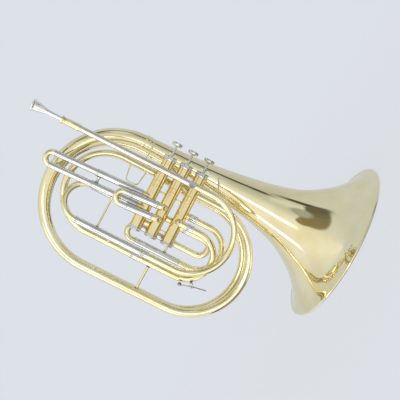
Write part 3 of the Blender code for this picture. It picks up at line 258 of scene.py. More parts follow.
# %% [markdown]
# ## Tube along a path
# A tube could be a curve with a bevel, but then every bend and taper is set by hand. Here a
# path is a chain of points, each with its own radius, and a Geometry Nodes tree sweeps a
# circle along it. The tree takes its number of sides and its material as inputs, so all the
# tubes, rods and wires on the horn share it. A tube that is open at its ends gets its wall
# from Solidify afterwards, inwards, so that slides really run inside their sleeves.

# %% How a tree starts and ends
def start_tree(name, inputs):
    """A Geometry Nodes tree with the named inputs, and the sockets that give them."""
    tree = bpy.data.node_groups.new(name, "GeometryNodeTree")
    for title, kind in inputs.items():
        tree.interface.new_socket(title, in_out="INPUT", socket_type=f"NodeSocket{kind}")
    tree.interface.new_socket("Made", in_out="OUTPUT", socket_type="NodeSocketGeometry")
    return tree, add_node(tree, "NodeGroupInput").outputs


def end_tree(tree, given, shape):
    """Makes instances real, sets the material and sends the shape out."""
    real = add_node(tree, "GeometryNodeRealizeInstances", [(shape, "Geometry")])
    dressed = add_node(tree, "GeometryNodeSetMaterial",
                       [(real, "Geometry"), (given["Finish"], "Material")])
    add_node(tree, "NodeGroupOutput", [(dressed, "Made")])
    return tree


def set_inputs(modifier, **values):
    """Sets a tree's inputs by their identifiers, from their names."""
    for item in modifier.node_group.interface.items_tree:
        name = item.name.replace(" ", "_").lower()
        if item.in_out == "INPUT" and name in values:
            modifier[item.identifier] = values[name]


# %% The tube tree
def make_tube_tree():
    """Sweeps a circle along a path whose attribute "thick" is the radius at each point."""
    tree, given = start_tree("tube_along_a_path", {"Path": "Geometry", "Sides": "Int",
                                                   "Closed Ends": "Bool", "Finish": "Material"})
    line = add_node(tree, "GeometryNodeMeshToCurve", [(given["Path"], "Mesh")])
    thick = add_node(tree, "GeometryNodeInputNamedAttribute", data_type="FLOAT", name="thick")
    sized = add_node(tree, "GeometryNodeSetCurveRadius", [(line, "Curve"), (thick, "Radius")])
    ring = add_node(tree, "GeometryNodeCurvePrimitiveCircle", [(given["Sides"], "Resolution")], radius=1.0)
    swept = add_node(tree, "GeometryNodeCurveToMesh",
                     [(sized, "Curve"), (ring, "Profile Curve"),
                      (thick, "Scale"), (given["Closed Ends"], "Fill Caps")])
    return end_tree(tree, given, swept)


TUBE_TREE = make_tube_tree()

# %% [markdown]
# A path is written as the corners where its straight lines would meet, with a bend radius
# for each inner corner. The first function rounds the corners finely, every few degrees. The
# tube's radius is one value, an even taper, which is how the branch grows towards the bell,
# or a function of the way along, which is how collars rise and the feet of braces swell.

# %% Rounded paths
BEND_STEP = 4.0
SAME_POINT = 0.02


def round_corners(corners, bends):
    """The path with its inner corners rounded to the bend radii."""
    corners = [Vector(c) for c in corners]
    path = [corners[0]]
    for before, corner, after, bend in zip(corners, corners[1:], corners[2:], bends):
        to_start = (before - corner).normalized()
        to_end = (after - corner).normalized()
        opening = to_start.angle(to_end)
        turn = math.pi - opening
        reach = bend / math.tan(opening / 2)
        middle = corner + (to_start + to_end).normalized() * bend / math.sin(opening / 2)
        first = corner + to_start * reach - middle
        last = corner + to_end * reach - middle
        count = max(3, round(math.degrees(turn) / BEND_STEP))
        for i in range(count + 1):
            share = i / count
            point = middle + (first * math.sin((1 - share) * turn)
                              + last * math.sin(share * turn)) / math.sin(turn)
            if (point - path[-1]).length > SAME_POINT:
                path.append(point)
    if (corners[-1] - path[-1]).length > SAME_POINT:
        path.append(corners[-1])
    return path


def fit_radii(path, radii):
    """The path and a radius for each of its points. A function of the way along names the
    stops where it changes, and the path gets a point at each of them."""
    gone = [0.0]
    for a, b in zip(path, path[1:]):
        gone.append(gone[-1] + (b - a).length)
    total = gone[-1]
    if not callable(radii):
        first, last = radii if isinstance(radii, tuple) else (radii, radii)
        return path, [first + (last - first) * s / total for s in gone]
    stops = sorted(set(gone) | {s for s in radii.stops(total) if 0 < s < total})
    dense = []
    for s in stops:
        i = max(k for k in range(len(gone)) if gone[k] <= s + 1e-9)
        if i == len(gone) - 1:
            dense.append(path[-1])
        else:
            share = (s - gone[i]) / (gone[i + 1] - gone[i])
            dense.append(path[i].lerp(path[i + 1], share))
    return dense, [radii(s, total) for s in stops]


# %% Drawing a tube
def draw_tube(name, corners, bends, radii, material, body="horn_body", node=None, wall=0.5,
              sides=28, trim=None, flatten=None):
    """A tube, or a solid rod when wall is 0. trim is an object to cut away, and flatten is a
    y to press towards, with the share of the thickness that is left."""
    path = round_corners(corners, bends) if bends else [Vector(c) for c in corners]
    path, sizes = fit_radii(path, radii)
    piece = new_object(name, [at(p) for p in path], [(i, i + 1) for i in range(len(path) - 1)])
    thick = piece.data.attributes.new("thick", "FLOAT", "POINT")
    thick.data.foreach_set("value", [s * MM for s in sizes])
    sweep = piece.modifiers.new("sweep", "NODES")
    sweep.node_group = TUBE_TREE
    set_inputs(sweep, sides=sides, closed_ends=not wall, finish=material)
    if wall:
        skin = piece.modifiers.new("wall", "SOLIDIFY")
        skin.thickness = wall * MM
        skin.offset = -1.0
    if trim is not None:
        cut = piece.modifiers.new("trim", "BOOLEAN")
        cut.operation = "DIFFERENCE"
        cut.object = trim
    if flatten is not None:
        plain_mesh(piece)
        centre, share = flatten
        for v in piece.data.vertices:
            v.co.y = centre * MM + (v.co.y - centre * MM) * share
    return finish_piece(piece, material, body, node)


# %% Collars and feet
END_STEPS = 6


class FlaredFeet:
    """A brace's radius: slim in the middle, swelling into a foot where it is soldered on."""

    def __init__(self, radius, foot=1.7, length=3.5):
        self.radius, self.foot, self.length = radius, foot, length

    def stops(self, total):
        steps = [self.length * k / END_STEPS for k in range(1, END_STEPS + 1)]
        return steps + [total - s for s in steps]

    def __call__(self, s, total):
        swell = max(0.0, 1 - s / self.length, 1 - (total - s) / self.length)
        return self.radius * (1 + (self.foot - 1) * swell ** 2)


class Collared:
    """A sleeve's radius: even, with a low half-round collar at its open end or at both ends."""

    def __init__(self, radius, rise=0.45, width=3.0, at_start=False):
        self.radius, self.rise, self.width, self.at_start = radius, rise, width, at_start

    def stops(self, total):
        steps = [self.width * k / END_STEPS for k in range(1, END_STEPS + 1)] + [self.width + 0.05]
        return steps + [total - s for s in steps]

    def __call__(self, s, total):
        found = 0.0
        for near, wanted in ((s, self.at_start), (total - s, True)):
            if wanted and near <= self.width:
                found = self.rise * math.sqrt(max(0.0, 1 - (2 * near / self.width - 1) ** 2)) + 0.05
        return self.radius + found


# %% [markdown]
# ## The lathe
# Caps, ferrules, casings, buttons, the mouthpiece and the bell are all turned shapes. Each is
# drawn as half a cross-section, as (radius, distance along the axis), and Blender's Screw
# modifier turns it. The shape is turned about z and then laid onto its own axis, with its
# place kept in the mesh.

# %% Turned pieces
LATHE_WELD = 0.000002


def turn_piece(name, profile, foot, along, material, body="horn_body", node=None, steps=48,
               ring=True):
    """A closed cross-section turned about an axis; with ring off, its ends lie on the axis."""
    count = len(profile)
    edges = [(i, i + 1) for i in range(count - 1)] + ([(count - 1, 0)] if ring else [])
    piece = new_object(name, [(r * MM, 0, d * MM) for r, d in profile], edges)
    lathe = piece.modifiers.new("lathe", "SCREW")
    lathe.axis = "Z"
    lathe.angle = math.tau
    lathe.steps = steps
    lathe.render_steps = steps
    lathe.use_merge_vertices = True
    lathe.merge_threshold = LATHE_WELD
    plain_mesh(piece)
    piece.data.transform(lay_onto(along, foot))
    return finish_piece(piece, material, body, node)


def smooth_profile(points, parts):
    """A smooth line through profile points, by Catmull-Rom."""
    points = [Vector((*p, 0)) for p in points]
    made = []
    for i in range(len(points) - 1):
        a = points[max(i - 1, 0)]
        b, c = points[i], points[i + 1]
        d = points[min(i + 2, len(points) - 1)]
        for k in range(parts):
            t = k / parts
            p = 0.5 * (2 * b + (c - a) * t + (2 * a - 5 * b + 4 * c - d) * t * t
                       + (3 * b - a - 3 * c + d) * t ** 3)
            made.append((p.x, p.y))
    made.append((points[-1].x, points[-1].y))
    return made


# %% [markdown]
# ## The bell
# The bell is hammered and spun from sheet brass until it flares from 28 to 300 millimetres,
# and its edge is rolled over a wire. Its outside is drawn through the measured radii, then
# the wall is added inwards along the slope, and the rolled rim closes the section.

# %% The bell
RIM_RADIUS = 150.0
BEAD_RADIUS = 2.0
BEAD_START, BEAD_SWEEP, BEAD_STEPS = 112, 270, 13
BELL_WALL = 0.7
BELL_STATIONS = [
    (13.8, 390.0), (15.3, 355.0), (17.6, 315.0), (21.8, 270.0), (28.0, 224.0), (34.4, 187.0),
    (41.7, 150.0), (52.0, 113.0), (62.5, 88.0), (77.0, 64.0), (93.5, 42.0), (112.0, 24.0),
    (130.0, 11.0), (146.8, 3.6),
]


def make_bell():
    outer = smooth_profile(BELL_STATIONS, 8)
    inner = []
    for i, (r, z) in enumerate(outer):
        before = Vector(outer[max(i - 1, 0)])
        after = Vector(outer[min(i + 1, len(outer) - 1)])
        slope = (after - before).normalized()
        inner.append((r + slope.y * BELL_WALL, z - slope.x * BELL_WALL if i else z))
    bead = []
    for k in range(1, BEAD_STEPS + 1):
        angle = math.radians(BEAD_START - BEAD_SWEEP * k / BEAD_STEPS)
        bead.append((RIM_RADIUS - BEAD_RADIUS + BEAD_RADIUS * math.cos(angle),
                     BEAD_RADIUS + BEAD_RADIUS * math.sin(angle)))
    profile = outer + bead + inner[::-1]
    return turn_piece("spun_bell_with_rolled_rim", profile, (0, 0, 0), UP, BRASS, node="bell", steps=160)


bell = make_bell()
print("bell faces:", len(bell.data.polygons))

# %% [markdown]
# ## The main branch
# From the valves the tube runs through the inner loop, round the large front bow and over the
# large rear bow into the bell, growing all the way. Each bow is one tapered tube, and bands
# called ferrules cover the joints. The inner loop makes two turns: the first in front, the
# second behind it and round the back of the valves. Straight runs that several tubes share
# are written once, as their x and y.

# %% Where the tubes run
BRANCH_X = -247.4
REAR_Z = 513.7
OUTER_RUN = (-187.8, -17)
INNER_RUN = (-41, -17)
MAIN_LOWER = (-173.8, -52)
MAIN_UPPER = (-110, -33)
THIRD_LOWER = (-163.3, -16)
THIRD_UPPER = (-136.8, -16)
THIRD_OUT = (-81, -42)
THIRD_RETURN = (-104.6, -42)
EXIT_X, EXIT_Y = -97.5, -62.5
EXIT_BEND = 45.15
VALVE_Y = -42.0
VALVE_Z = {1: 339.9, 2: 308.6, 3: 277.3}
KNUCKLE_END_Y, ELBOW_START_Y = -54.4, -54.7
SLEEVE_RADIUS, LEG_RADIUS, BOW_RADIUS, LOOP_RADIUS = 6.25, 5.5, 5.9, 6.0

# %% Branch bows
draw_tube("large_front_bow_tube",
          [(*INNER_RUN, 260), (*INNER_RUN, 118.5), (BRANCH_X, 0, 118.5), (BRANCH_X, 0, 390)],
          [103.2, 103.2], (6.6, 9.4), BRASS, node="large_front_bow", sides=36)
draw_tube("large_rear_bow_tube",
          [(BRANCH_X, 0, 390.3), (BRANCH_X, 0, REAR_Z), (0, 0, REAR_Z), (0, 0, 390.3)],
          [123.4, 123.4], (9.4, 13.8), BRASS, node="large_rear_bow", sides=40)
draw_tube("inner_loop_tube",
          [(*OUTER_RUN, 316.3), (*OUTER_RUN, 484.7), (*INNER_RUN, 484.7), (*INNER_RUN, 350),
           (-46.5, 6, 300), (-46.5, 6, 127), (-246, 17, 127), (-246, 17, 508), (-14.5, 23, 508),
           (-14.5, 23, 345), (*INNER_RUN, 280), (*INNER_RUN, 260.3)],
          [73.35, 73.35, 15, 15, 99.7, 99.7, 115.7, 115.7, 15, 15], (LOOP_RADIUS, 6.6), BRASS,
          node="inner_loop_bow")
draw_tube("valve_exit_tube",
          [(EXIT_X, ELBOW_START_Y, VALVE_Z[3]), (EXIT_X, EXIT_Y, VALVE_Z[3]), (EXIT_X, EXIT_Y, 191.5),
           (*OUTER_RUN, 191.5), (*OUTER_RUN, 316)],
          [7.0, EXIT_BEND, EXIT_BEND], LOOP_RADIUS, BRASS, node="exit_bow")


# %% Ferrules
def make_ferrule(name, middle, along, radius, length, material, node=None):
    """A band just clear of its tube, with a half-round bead at each end."""
    half = length / 2
    inner = radius + 0.12
    outer = radius + 0.75
    bead = outer + 0.3
    side = [(outer, half), (bead, half - 0.4), (bead, half - 1.1), (outer, half - 1.6)]
    profile = [(inner, -half), (inner, half)] + side + [(r, -d) for r, d in side[::-1]]
    turn_piece(name, profile, middle, along, material, node=node)


make_ferrule("bell_tail_ferrule", (0, 0, 387.25), UP, 14.15, 11.0, BRASS, "bell_ferrule")
make_ferrule("inner_loop_ferrule", (*OUTER_RUN, 316), UP, LOOP_RADIUS, 15.0, NICKEL, "exit_ferrule")
make_ferrule("leadpipe_bow_ferrule", (*MAIN_LOWER, 302.5), UP, BOW_RADIUS, 11.0, NICKEL,
             "lead_bow_ferrule")
print("branch and ferrules made")

# %% [markdown]
# ## Leadpipe, receiver and mouthpiece
# The leadpipe is nickel silver, with a brass receiver whose end carries a ring. Below it a
# brass bow swings round into the main tuning slide. The mouthpiece is turned from solid bar
# and silver plated: a thin rim, a deep cup and a long tapering shank.

# %% Leadpipe
LEAD_FOOT = Vector((-28.6, -62, 290))
LEAD_TOP = Vector((-31.7, -62, 507))
LEAD_UP = (LEAD_TOP - LEAD_FOOT).normalized()
RECEIVER_LENGTH, RECEIVER_OVERLAP = 34, 7
RECEIVER = [(5.7, 0), (5.7, 7.3), (4.0, 8.8), (4.45, 34), (6.9, 34), (7.2, 33.6), (7.2, 31.2),
            (6.9, 30.8), (5.9, 30.2), (5.9, 29.4), (6.3, 28.8), (6.15, 12), (6.3, 8.0), (6.3, 1.4),
            (6.1, 0)]
draw_tube("leadpipe_tube", [LEAD_FOOT, LEAD_TOP], [], (5.6, 5.2), WARM_NICKEL, node="leadpipe")
draw_tube("leadpipe_bow_tube",
          [(-28.6, -62, 289.7), (-28, -62, 174.5), (*MAIN_LOWER, 174.5), (*MAIN_LOWER, 309)],
          [72.5, 72.5], BOW_RADIUS, BRASS, node="leadpipe_bow")
turn_piece("mouthpiece_receiver_turning", RECEIVER, LEAD_TOP - LEAD_UP * RECEIVER_OVERLAP, LEAD_UP,
           BRASS, node="mouthpiece_receiver")

# %% Mouthpiece
SHANK = 18.0
outside = smooth_profile([(3.6, 0), (4.0, 18), (4.25, 33), (4.7, 43), (6.2, 51), (8.2, 59),
                          (9.2, 66.6)], 5)
rim = [(10.4, 68.3), (11.2, 69.4), (11.4, 70.3), (11.2, 71.1), (10.6, 71.7), (10.0, 72.0), (9.4, 72.0),
       (8.8, 71.6), (8.4, 70.6)]
cup = smooth_profile([(8.1, 69), (6.1, 59), (2.2, 51), (2.2, 45), (2.5, 0)], 5)
shank_end = LEAD_TOP + LEAD_UP * (RECEIVER_LENGTH - RECEIVER_OVERLAP - SHANK)
turn_piece("turned_mouthpiece", outside + rim + cup, shank_end, LEAD_UP, SILVER, "mouthpiece_body",
           "mouthpiece", steps=64)
print("leadpipe and mouthpiece made")

# %% [markdown]
# ## Slides
# A tuning slide is a U of tube whose legs run inside two sleeves. On this horn the sleeves
# are nickel silver, which wears well, and so are the legs of all slides but the third. The
# bow at the end is brass. One function makes the legs and the bow of any slide from where its
# legs end and which way it points.

# %% Slide maker
JOIN_GAP = 0.1


def make_slide(name, upper, lower, along, reach, body, node, leg_finish=NICKEL):
    """Two legs and a brass bow; reach is the distance from the legs' feet to the bow's far side."""
    upper, lower, along = Vector(upper), Vector(lower), Vector(along).normalized()
    spread = (upper - lower).length
    bend = spread / 2 - JOIN_GAP / 2
    straight = reach - bend
    draw_tube(f"{name}_bow", [upper + along * straight, upper + along * reach,
                              lower + along * reach, lower + along * straight],
              [bend, bend], LEG_RADIUS, BRASS, body, node)
    for label, foot in (("upper_leg", upper), ("lower_leg", lower)):
        draw_tube(f"{name}_{label}", [foot, foot + along * (straight - JOIN_GAP)], [], LEG_RADIUS,
                  leg_finish, body)


def make_sleeve(slide, side, start, end):
    """A straight nickel silver tube with a collar at each end."""
    draw_tube(f"{slide}_{side}_sleeve_tube", [start, end], [], Collared(SLEEVE_RADIUS, at_start=True),
              NICKEL, node=f"{slide}_slide_{side}_sleeve", wall=0.45)


def leaning(degrees):
    """Upwards, leaning away from the buttons."""
    return Vector((-math.sin(math.radians(degrees)), 0, math.cos(math.radians(degrees))))


# %% Main tuning slide
make_sleeve("main", "lower", (*MAIN_LOWER, 309.3), (*MAIN_LOWER, 438))
make_sleeve("main", "upper", (*MAIN_UPPER, 372), (*MAIN_UPPER, 438))
make_slide("main_slide", (*MAIN_UPPER, 374), (*MAIN_LOWER, 374), UP, 97, "main_slide",
           "main_tuning_slide")

# %% First valve's slide
FIRST = leaning(2.5)
FIRST_LEGS = {"upper": Vector((-80.5, -48, VALVE_Z[1])), "lower": Vector((-102.9, -48, VALVE_Z[1]))}
for side, foot in FIRST_LEGS.items():
    make_sleeve("first", side, foot + FIRST * 15.3, foot + FIRST * 102)
make_slide("first_slide", FIRST_LEGS["upper"] + FIRST * 40, FIRST_LEGS["lower"] + FIRST * 40, FIRST,
           150.5, "first_valve_slide", "first_slide")

# %% Second valve's slide
SECOND = leaning(4.5)
SECOND_Z = 310.1
SECOND_LEGS = {"upper": -86.2, "lower": -108.4}
ELBOWS = {side: Vector((x, -62, SECOND_Z)) for side, x in SECOND_LEGS.items()}
for side, elbow in ELBOWS.items():
    draw_tube(f"second_{side}_elbow",
              [(SECOND_LEGS[side], ELBOW_START_Y, SECOND_Z), elbow, elbow + SECOND * 13], [7.0],
              Collared(LOOP_RADIUS, 0.3, 2.0), BRASS)
    make_sleeve("second", side, elbow + SECOND * 13.1, elbow + SECOND * 62)
make_slide("second_slide", ELBOWS["upper"] + SECOND * 18, ELBOWS["lower"] + SECOND * 18, SECOND, 66,
           "second_valve_slide", "second_slide")

# %% Third valve's tubing and slide
draw_tube("third_valve_outer_tube",
          [(*THIRD_OUT, 262), (*THIRD_OUT, 181), (*THIRD_LOWER, 181), (*THIRD_LOWER, 240)],
          [41.15, 41.15], BOW_RADIUS, BRASS, node="third_valve_outer_bow")
draw_tube("third_valve_inner_tube",
          [(*THIRD_RETURN, 262), (*THIRD_RETURN, 206), (*THIRD_UPPER, 206), (*THIRD_UPPER, 262)],
          [16.1, 16.1], BOW_RADIUS, BRASS, node="third_valve_inner_bow")
make_sleeve("third", "upper", (*THIRD_UPPER, 262.3), (*THIRD_UPPER, 330))
make_sleeve("third", "lower", (*THIRD_LOWER, 240.3), (*THIRD_LOWER, 330))
make_slide("third_slide", (*THIRD_UPPER, 274), (*THIRD_LOWER, 274), UP, 74.2, "third_valve_slide",
           "third_slide", BRASS)
for name, place in (("out", THIRD_OUT), ("return", THIRD_RETURN), ("exit", (EXIT_X, EXIT_Y))):
    make_ferrule(f"third_valve_{name}_ferrule", (*place, 255), UP, LOOP_RADIUS, 13.0, NICKEL)
print("slides made")

# %% [markdown]
# ## Valves
# Each valve is a brass casing with a piston running in it. The casing is turned, with two
# pairs of fine rings round its middle, and short tubes called knuckles are soldered to it.
# A knuckle is trimmed by a cylinder as wide as the middle of the casing's wall, so that it
# ends on the casing and leaves the bore free for the piston.

# %% Casings
CASING_TOP = -6.0
CASING_FOOT = -141.0
CASING_LENGTH = CASING_TOP - CASING_FOOT
CASING_RADIUS, CASING_BORE, RING_RADIUS = 10.8, 9.8, 11.4
CASING_RINGS = (81.4, 84.2, 88.6, 91.4)


def make_casing(number):
    profile = [(CASING_RADIUS, 0.0)]
    for ring in CASING_RINGS:
        profile += [(CASING_RADIUS, ring - 0.9), (RING_RADIUS, ring - 0.4), (RING_RADIUS, ring + 0.4),
                    (CASING_RADIUS, ring + 0.9)]
    profile += [(CASING_RADIUS, CASING_LENGTH), (CASING_BORE, CASING_LENGTH), (CASING_BORE, 0.0)]
    turn_piece(f"valve_{number}_casing_tube", profile, (CASING_FOOT, VALVE_Y, VALVE_Z[number]),
               BUTTONWARDS, DRAWN_BRASS, node=f"valve_casing_{number}", steps=64)


def make_trimmer(number):
    """A helper cylinder as wide as the middle of the casing's wall."""
    radius = (CASING_RADIUS + CASING_BORE) / 2 * MM
    helper = new_object(f"valve_{number}_trimmer", [])
    shape = bmesh.new()
    bmesh.ops.create_cone(shape, cap_ends=True, segments=48, radius1=radius, radius2=radius,
                          depth=(CASING_LENGTH + 4) * MM)
    middle = ((CASING_TOP + CASING_FOOT) / 2, VALVE_Y, VALVE_Z[number])
    bmesh.ops.transform(shape, matrix=lay_onto(BUTTONWARDS, middle), verts=shape.verts)
    bmesh.ops.recalc_face_normals(shape, faces=shape.faces)
    shape.to_mesh(helper.data)
    shape.free()
    return helper


# %% Knuckles
KNUCKLE_BEND = 12.0
KNUCKLES = {
    1: {f"first_{side}": [leg, leg + FIRST * 15] for side, leg in FIRST_LEGS.items()},
    2: {f"second_{side}": [(x, VALVE_Y, SECOND_Z), (x, KNUCKLE_END_Y, SECOND_Z)]
        for side, x in SECOND_LEGS.items()},
    3: {"third_out": [(*THIRD_OUT, VALVE_Z[3]), (*THIRD_OUT, 262.3)],
        "third_return": [(*THIRD_RETURN, VALVE_Z[3]), (*THIRD_RETURN, 262.3)],
        "exit": [(EXIT_X, VALVE_Y, VALVE_Z[3]), (EXIT_X, KNUCKLE_END_Y, VALVE_Z[3])]},
}
KNUCKLES[1]["inlet"] = [(-117, VALVE_Y, VALVE_Z[1]), (*MAIN_UPPER, 365.9), (*MAIN_UPPER, 371.7)]
for number in VALVE_Z:
    make_casing(number)
    trimmer = make_trimmer(number)
    for label, corners in KNUCKLES[number].items():
        start, towards, *rest = [Vector(c) for c in corners]
        start = start + (towards - start).normalized() * 2
        draw_tube(f"{label}_knuckle", [start, towards, *rest], [KNUCKLE_BEND] * len(rest),
                  Collared(BOW_RADIUS, 0.35, 2.2), DRAWN_BRASS, trim=trimmer)
    bpy.data.objects.remove(trimmer)

# %% Crossovers and posts between the casings
for name, x, z in (("crossover_1_2", -124.5, 324.25), ("crossover_2_3", -101.6, 292.95)):
    draw_tube(f"{name}_tube", [(x, VALVE_Y, z - 4.6), (x, VALVE_Y, z + 4.6)], [],
              Collared(5.4, 0.35, 2.0, True), DRAWN_BRASS, node=name)
for label, x, z, to in (("upper_high", -65, 319.1, 328.6), ("upper_low", -65, 298.1, 288.6),
                        ("foot_low", -124.5, 298.1, 288.6)):
    draw_tube(f"{label}_casing_post", [(x, VALVE_Y, z), (x, VALVE_Y, to)], [],
              FlaredFeet(1.7, 1.5, 2.0), DRAWN_BRASS, wall=0)

# %% [markdown]
# Caps are nickel silver with a knurled grip, so that wet fingers can unscrew them. The ribs
# of the grip are a pattern that repeats, so a Geometry Nodes tree sets one small rib on each
# point of a circle and joins them. A piston is pushed down by a finger button on a thin stem.

# %% The grip tree
RIB_SHARE = 0.62


def make_grip_tree():
    tree, given = start_tree("ribs_round_a_cap", {"Start": "Geometry", "Ribs": "Int", "Radius": "Float",
                                                  "Width": "Float", "Length": "Float",
                                                  "Finish": "Material"})
    circle = add_node(tree, "GeometryNodeCurvePrimitiveCircle",
                      [(given["Ribs"], "Resolution"), (given["Radius"], "Radius")])
    points = add_node(tree, "GeometryNodeCurveToPoints",
                      [(circle, "Curve"), (given["Ribs"], "Count")], mode="COUNT")
    size = add_node(tree, "ShaderNodeCombineXYZ",
                    [(given["Width"], "X"), (given["Width"], "Y"), (given["Length"], "Z")])
    rib = add_node(tree, "GeometryNodeMeshCylinder", vertices=6, radius=0.5, depth=1.0)
    spread = add_node(tree, "GeometryNodeInstanceOnPoints",
                      [(points, "Points"), (rib, "Instance"), (size, "Scale")])
    return end_tree(tree, given, spread)


GRIP_TREE = make_grip_tree()


def add_grip(name, foot, along, radius, length, body="horn_body", ribs=44):
    piece = new_object(name, [(0, 0, 0)])
    grip = piece.modifiers.new("grip", "NODES")
    grip.node_group = GRIP_TREE
    set_inputs(grip, ribs=ribs, radius=radius * MM, width=math.tau * radius / ribs * RIB_SHARE * MM,
               length=length * MM, finish=NICKEL)
    plain_mesh(piece)
    piece.data.transform(lay_onto(along, foot))
    return finish_piece(piece, NICKEL, body)


# %% Caps, pistons and buttons
SEAT_GAP = 0.3
GRIP_RADIUS = 11.35
PISTON_CROWN_X = -71.0
TOP_CAP = [(2.35, 0), (2.35, 5.0), (4.2, 5.0), (4.6, 4.5), (10.2, 4.5), (11.2, 4.1), (11.7, 3.2),
           (11.7, 2.4), (11.35, 2.1), (11.35, -1.4), (11.75, -1.8), (11.75, -3.6), (11.5, -4.0),
           (11.15, -4.0), (11.15, 0)]
FOOT_CAP = [(1.6, 0), (1.6, 3.6), (3.2, 3.6), (3.6, 3.1), (9.6, 3.1), (10.9, 2.6), (11.6, 1.6),
            (11.7, 0.8), (11.35, 0.4), (11.35, -2.2), (11.75, -2.6), (11.75, -3.7), (11.5, -4.0),
            (11.15, -4.0), (11.15, 0)]
PISTON = [(8.2, PISTON_CROWN_X), (8.2, -118), (9.4, -118), (9.4, -66.4), (9.0, -66), (2.6, -66),
          (2.0, -64.5), (2.0, 22.4), (0, 22.4), (0, PISTON_CROWN_X)]
BUTTON = [(0, 22.9), (2.35, 22.9), (2.35, 18.0), (3.6, 18.0), (4.2, 18.7), (7.2, 18.9), (8.9, 19.6),
          (9.5, 20.6), (9.6, 21.6), (9.6, 23.8), (9.4, 24.5), (8.9, 24.9), (8.3, 25.0), (7.8, 24.85),
          (7.2, 24.3), (4.0, 24.05), (0, 24.0)]
for number, z in VALVE_Z.items():
    top = CASING_TOP + SEAT_GAP
    turn_piece(f"valve_{number}_top_cap_turning", TOP_CAP, (top, VALVE_Y, z), BUTTONWARDS, NICKEL,
               node=f"valve_top_cap_{number}")
    add_grip(f"valve_{number}_top_cap_grip", (top + 0.35, VALVE_Y, z), BUTTONWARDS, GRIP_RADIUS, 3.3)
    foot = CASING_FOOT - SEAT_GAP
    turn_piece(f"valve_{number}_foot_cap_turning", FOOT_CAP, (foot, VALVE_Y, z), -BUTTONWARDS, NICKEL,
               node=f"valve_bottom_cap_{number}")
    add_grip(f"valve_{number}_foot_cap_grip", (foot + 0.9, VALVE_Y, z), BUTTONWARDS, GRIP_RADIUS, 2.3)
    turn_piece(f"valve_{number}_piston_turning", PISTON, (0, VALVE_Y, z), BUTTONWARDS, NICKEL,
               f"valve_{number}", f"piston_{number}", ring=False)
    turn_piece(f"valve_{number}_button_turning", BUTTON, (0, VALVE_Y, z), BUTTONWARDS, NICKEL,
               f"valve_{number}", f"finger_button_{number}", ring=False)

# %% Springs
SPRING_WIRE = 0.45
SPRING_COIL = 6.15
SPRING_TURNS = 14
STEPS_IN_A_TURN = 20


def make_spring(number):
    """A steel wire wound between the casing's foot and the piston's crown. It stays on the
    casing."""
    first = CASING_FOOT + SPRING_WIRE
    length = PISTON_CROWN_X - SEAT_GAP - SPRING_WIRE - first
    count = SPRING_TURNS * STEPS_IN_A_TURN
    path = []
    for i in range(count + 1):
        turn = math.tau * i / STEPS_IN_A_TURN
        path.append((first + length * i / count, VALVE_Y + SPRING_COIL * math.cos(turn),
                     VALVE_Z[number] + SPRING_COIL * math.sin(turn)))
    spring = draw_tube(f"valve_{number}_coil_spring", path, [], SPRING_WIRE, SPRING_STEEL,
                       node=f"valve_spring_{number}", wall=0, sides=8)
    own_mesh(spring)


for number in VALVE_Z:
    make_spring(number)
print("valves made")

# %% [markdown]
# ## Braces
# Thin rods and bent wires tie the tubes together. A rod swells into a foot at each end, where
# it is soldered on, and a bent wire has smaller feet. All of them come from the tube tree
# with closed ends.

# %% Straight braces
def make_strut(name, start, start_radius, end, end_radius, radius, node, material=BRASS):
    """A rod between the walls of two tubes, given by points on their axes."""
    start, end = Vector(start), Vector(end)
    along = (end - start).normalized()
    draw_tube(name, [start + along * (start_radius + 0.05), end - along * (end_radius + 0.05)], [],
              FlaredFeet(radius), material, node=node, wall=0, sides=16)


def on_leg(side, z):
    """The point of a first slide's leg at a height."""
    return FIRST_LEGS[side] + FIRST * ((z - VALVE_Z[1]) / FIRST.z)


make_strut("slide_to_slide_rod", on_leg("lower", 398), SLEEVE_RADIUS, (*MAIN_LOWER, 398), SLEEVE_RADIUS,
           1.9, "slide_brace")
make_strut("branch_rod", (*OUTER_RUN, 285), LOOP_RADIUS, (BRANCH_X, 0, 285), 9.3, 2.6, "branch_brace")
make_strut("slide_to_loop_post", (*MAIN_LOWER, 369), SLEEVE_RADIUS, (*OUTER_RUN, 369), LOOP_RADIUS, 1.9,
           "slide_loop_brace")
make_strut("third_slide_post", (*THIRD_LOWER, 271), SLEEVE_RADIUS, (*THIRD_UPPER, 271), SLEEVE_RADIUS,
           1.9, "third_slide_brace")
across = (FIRST_LEGS["lower"] - FIRST_LEGS["upper"]).normalized()
middle = FIRST_LEGS["upper"] + FIRST * 94
make_strut("first_slide_bridge", middle, SLEEVE_RADIUS, middle + across * 22.4, SLEEVE_RADIUS, 2.4,
           "first_slide_brace", NICKEL)


# %% Wire braces
def pipe_point(z):
    """The point of the leadpipe's axis at a height."""
    return LEAD_FOOT + LEAD_UP * ((z - LEAD_FOOT.z) / LEAD_UP.z)


def on_bell(x, z, off=0.0):
    """The point of the bell's front at an x and a height, or a little way off it."""
    for (small, high), (large, low) in zip(BELL_STATIONS, BELL_STATIONS[1:]):
        if z >= low:
            radius = small + (large - small) * (high - z) / (high - low) + off
            return Vector((x, -math.sqrt(radius ** 2 - x ** 2), z))
    raise ValueError("the bell ends above this height")


def make_wire(name, corners, bends, feet, node):
    draw_tube(name, corners, bends, feet, BRASS, node=node, wall=0, sides=14)


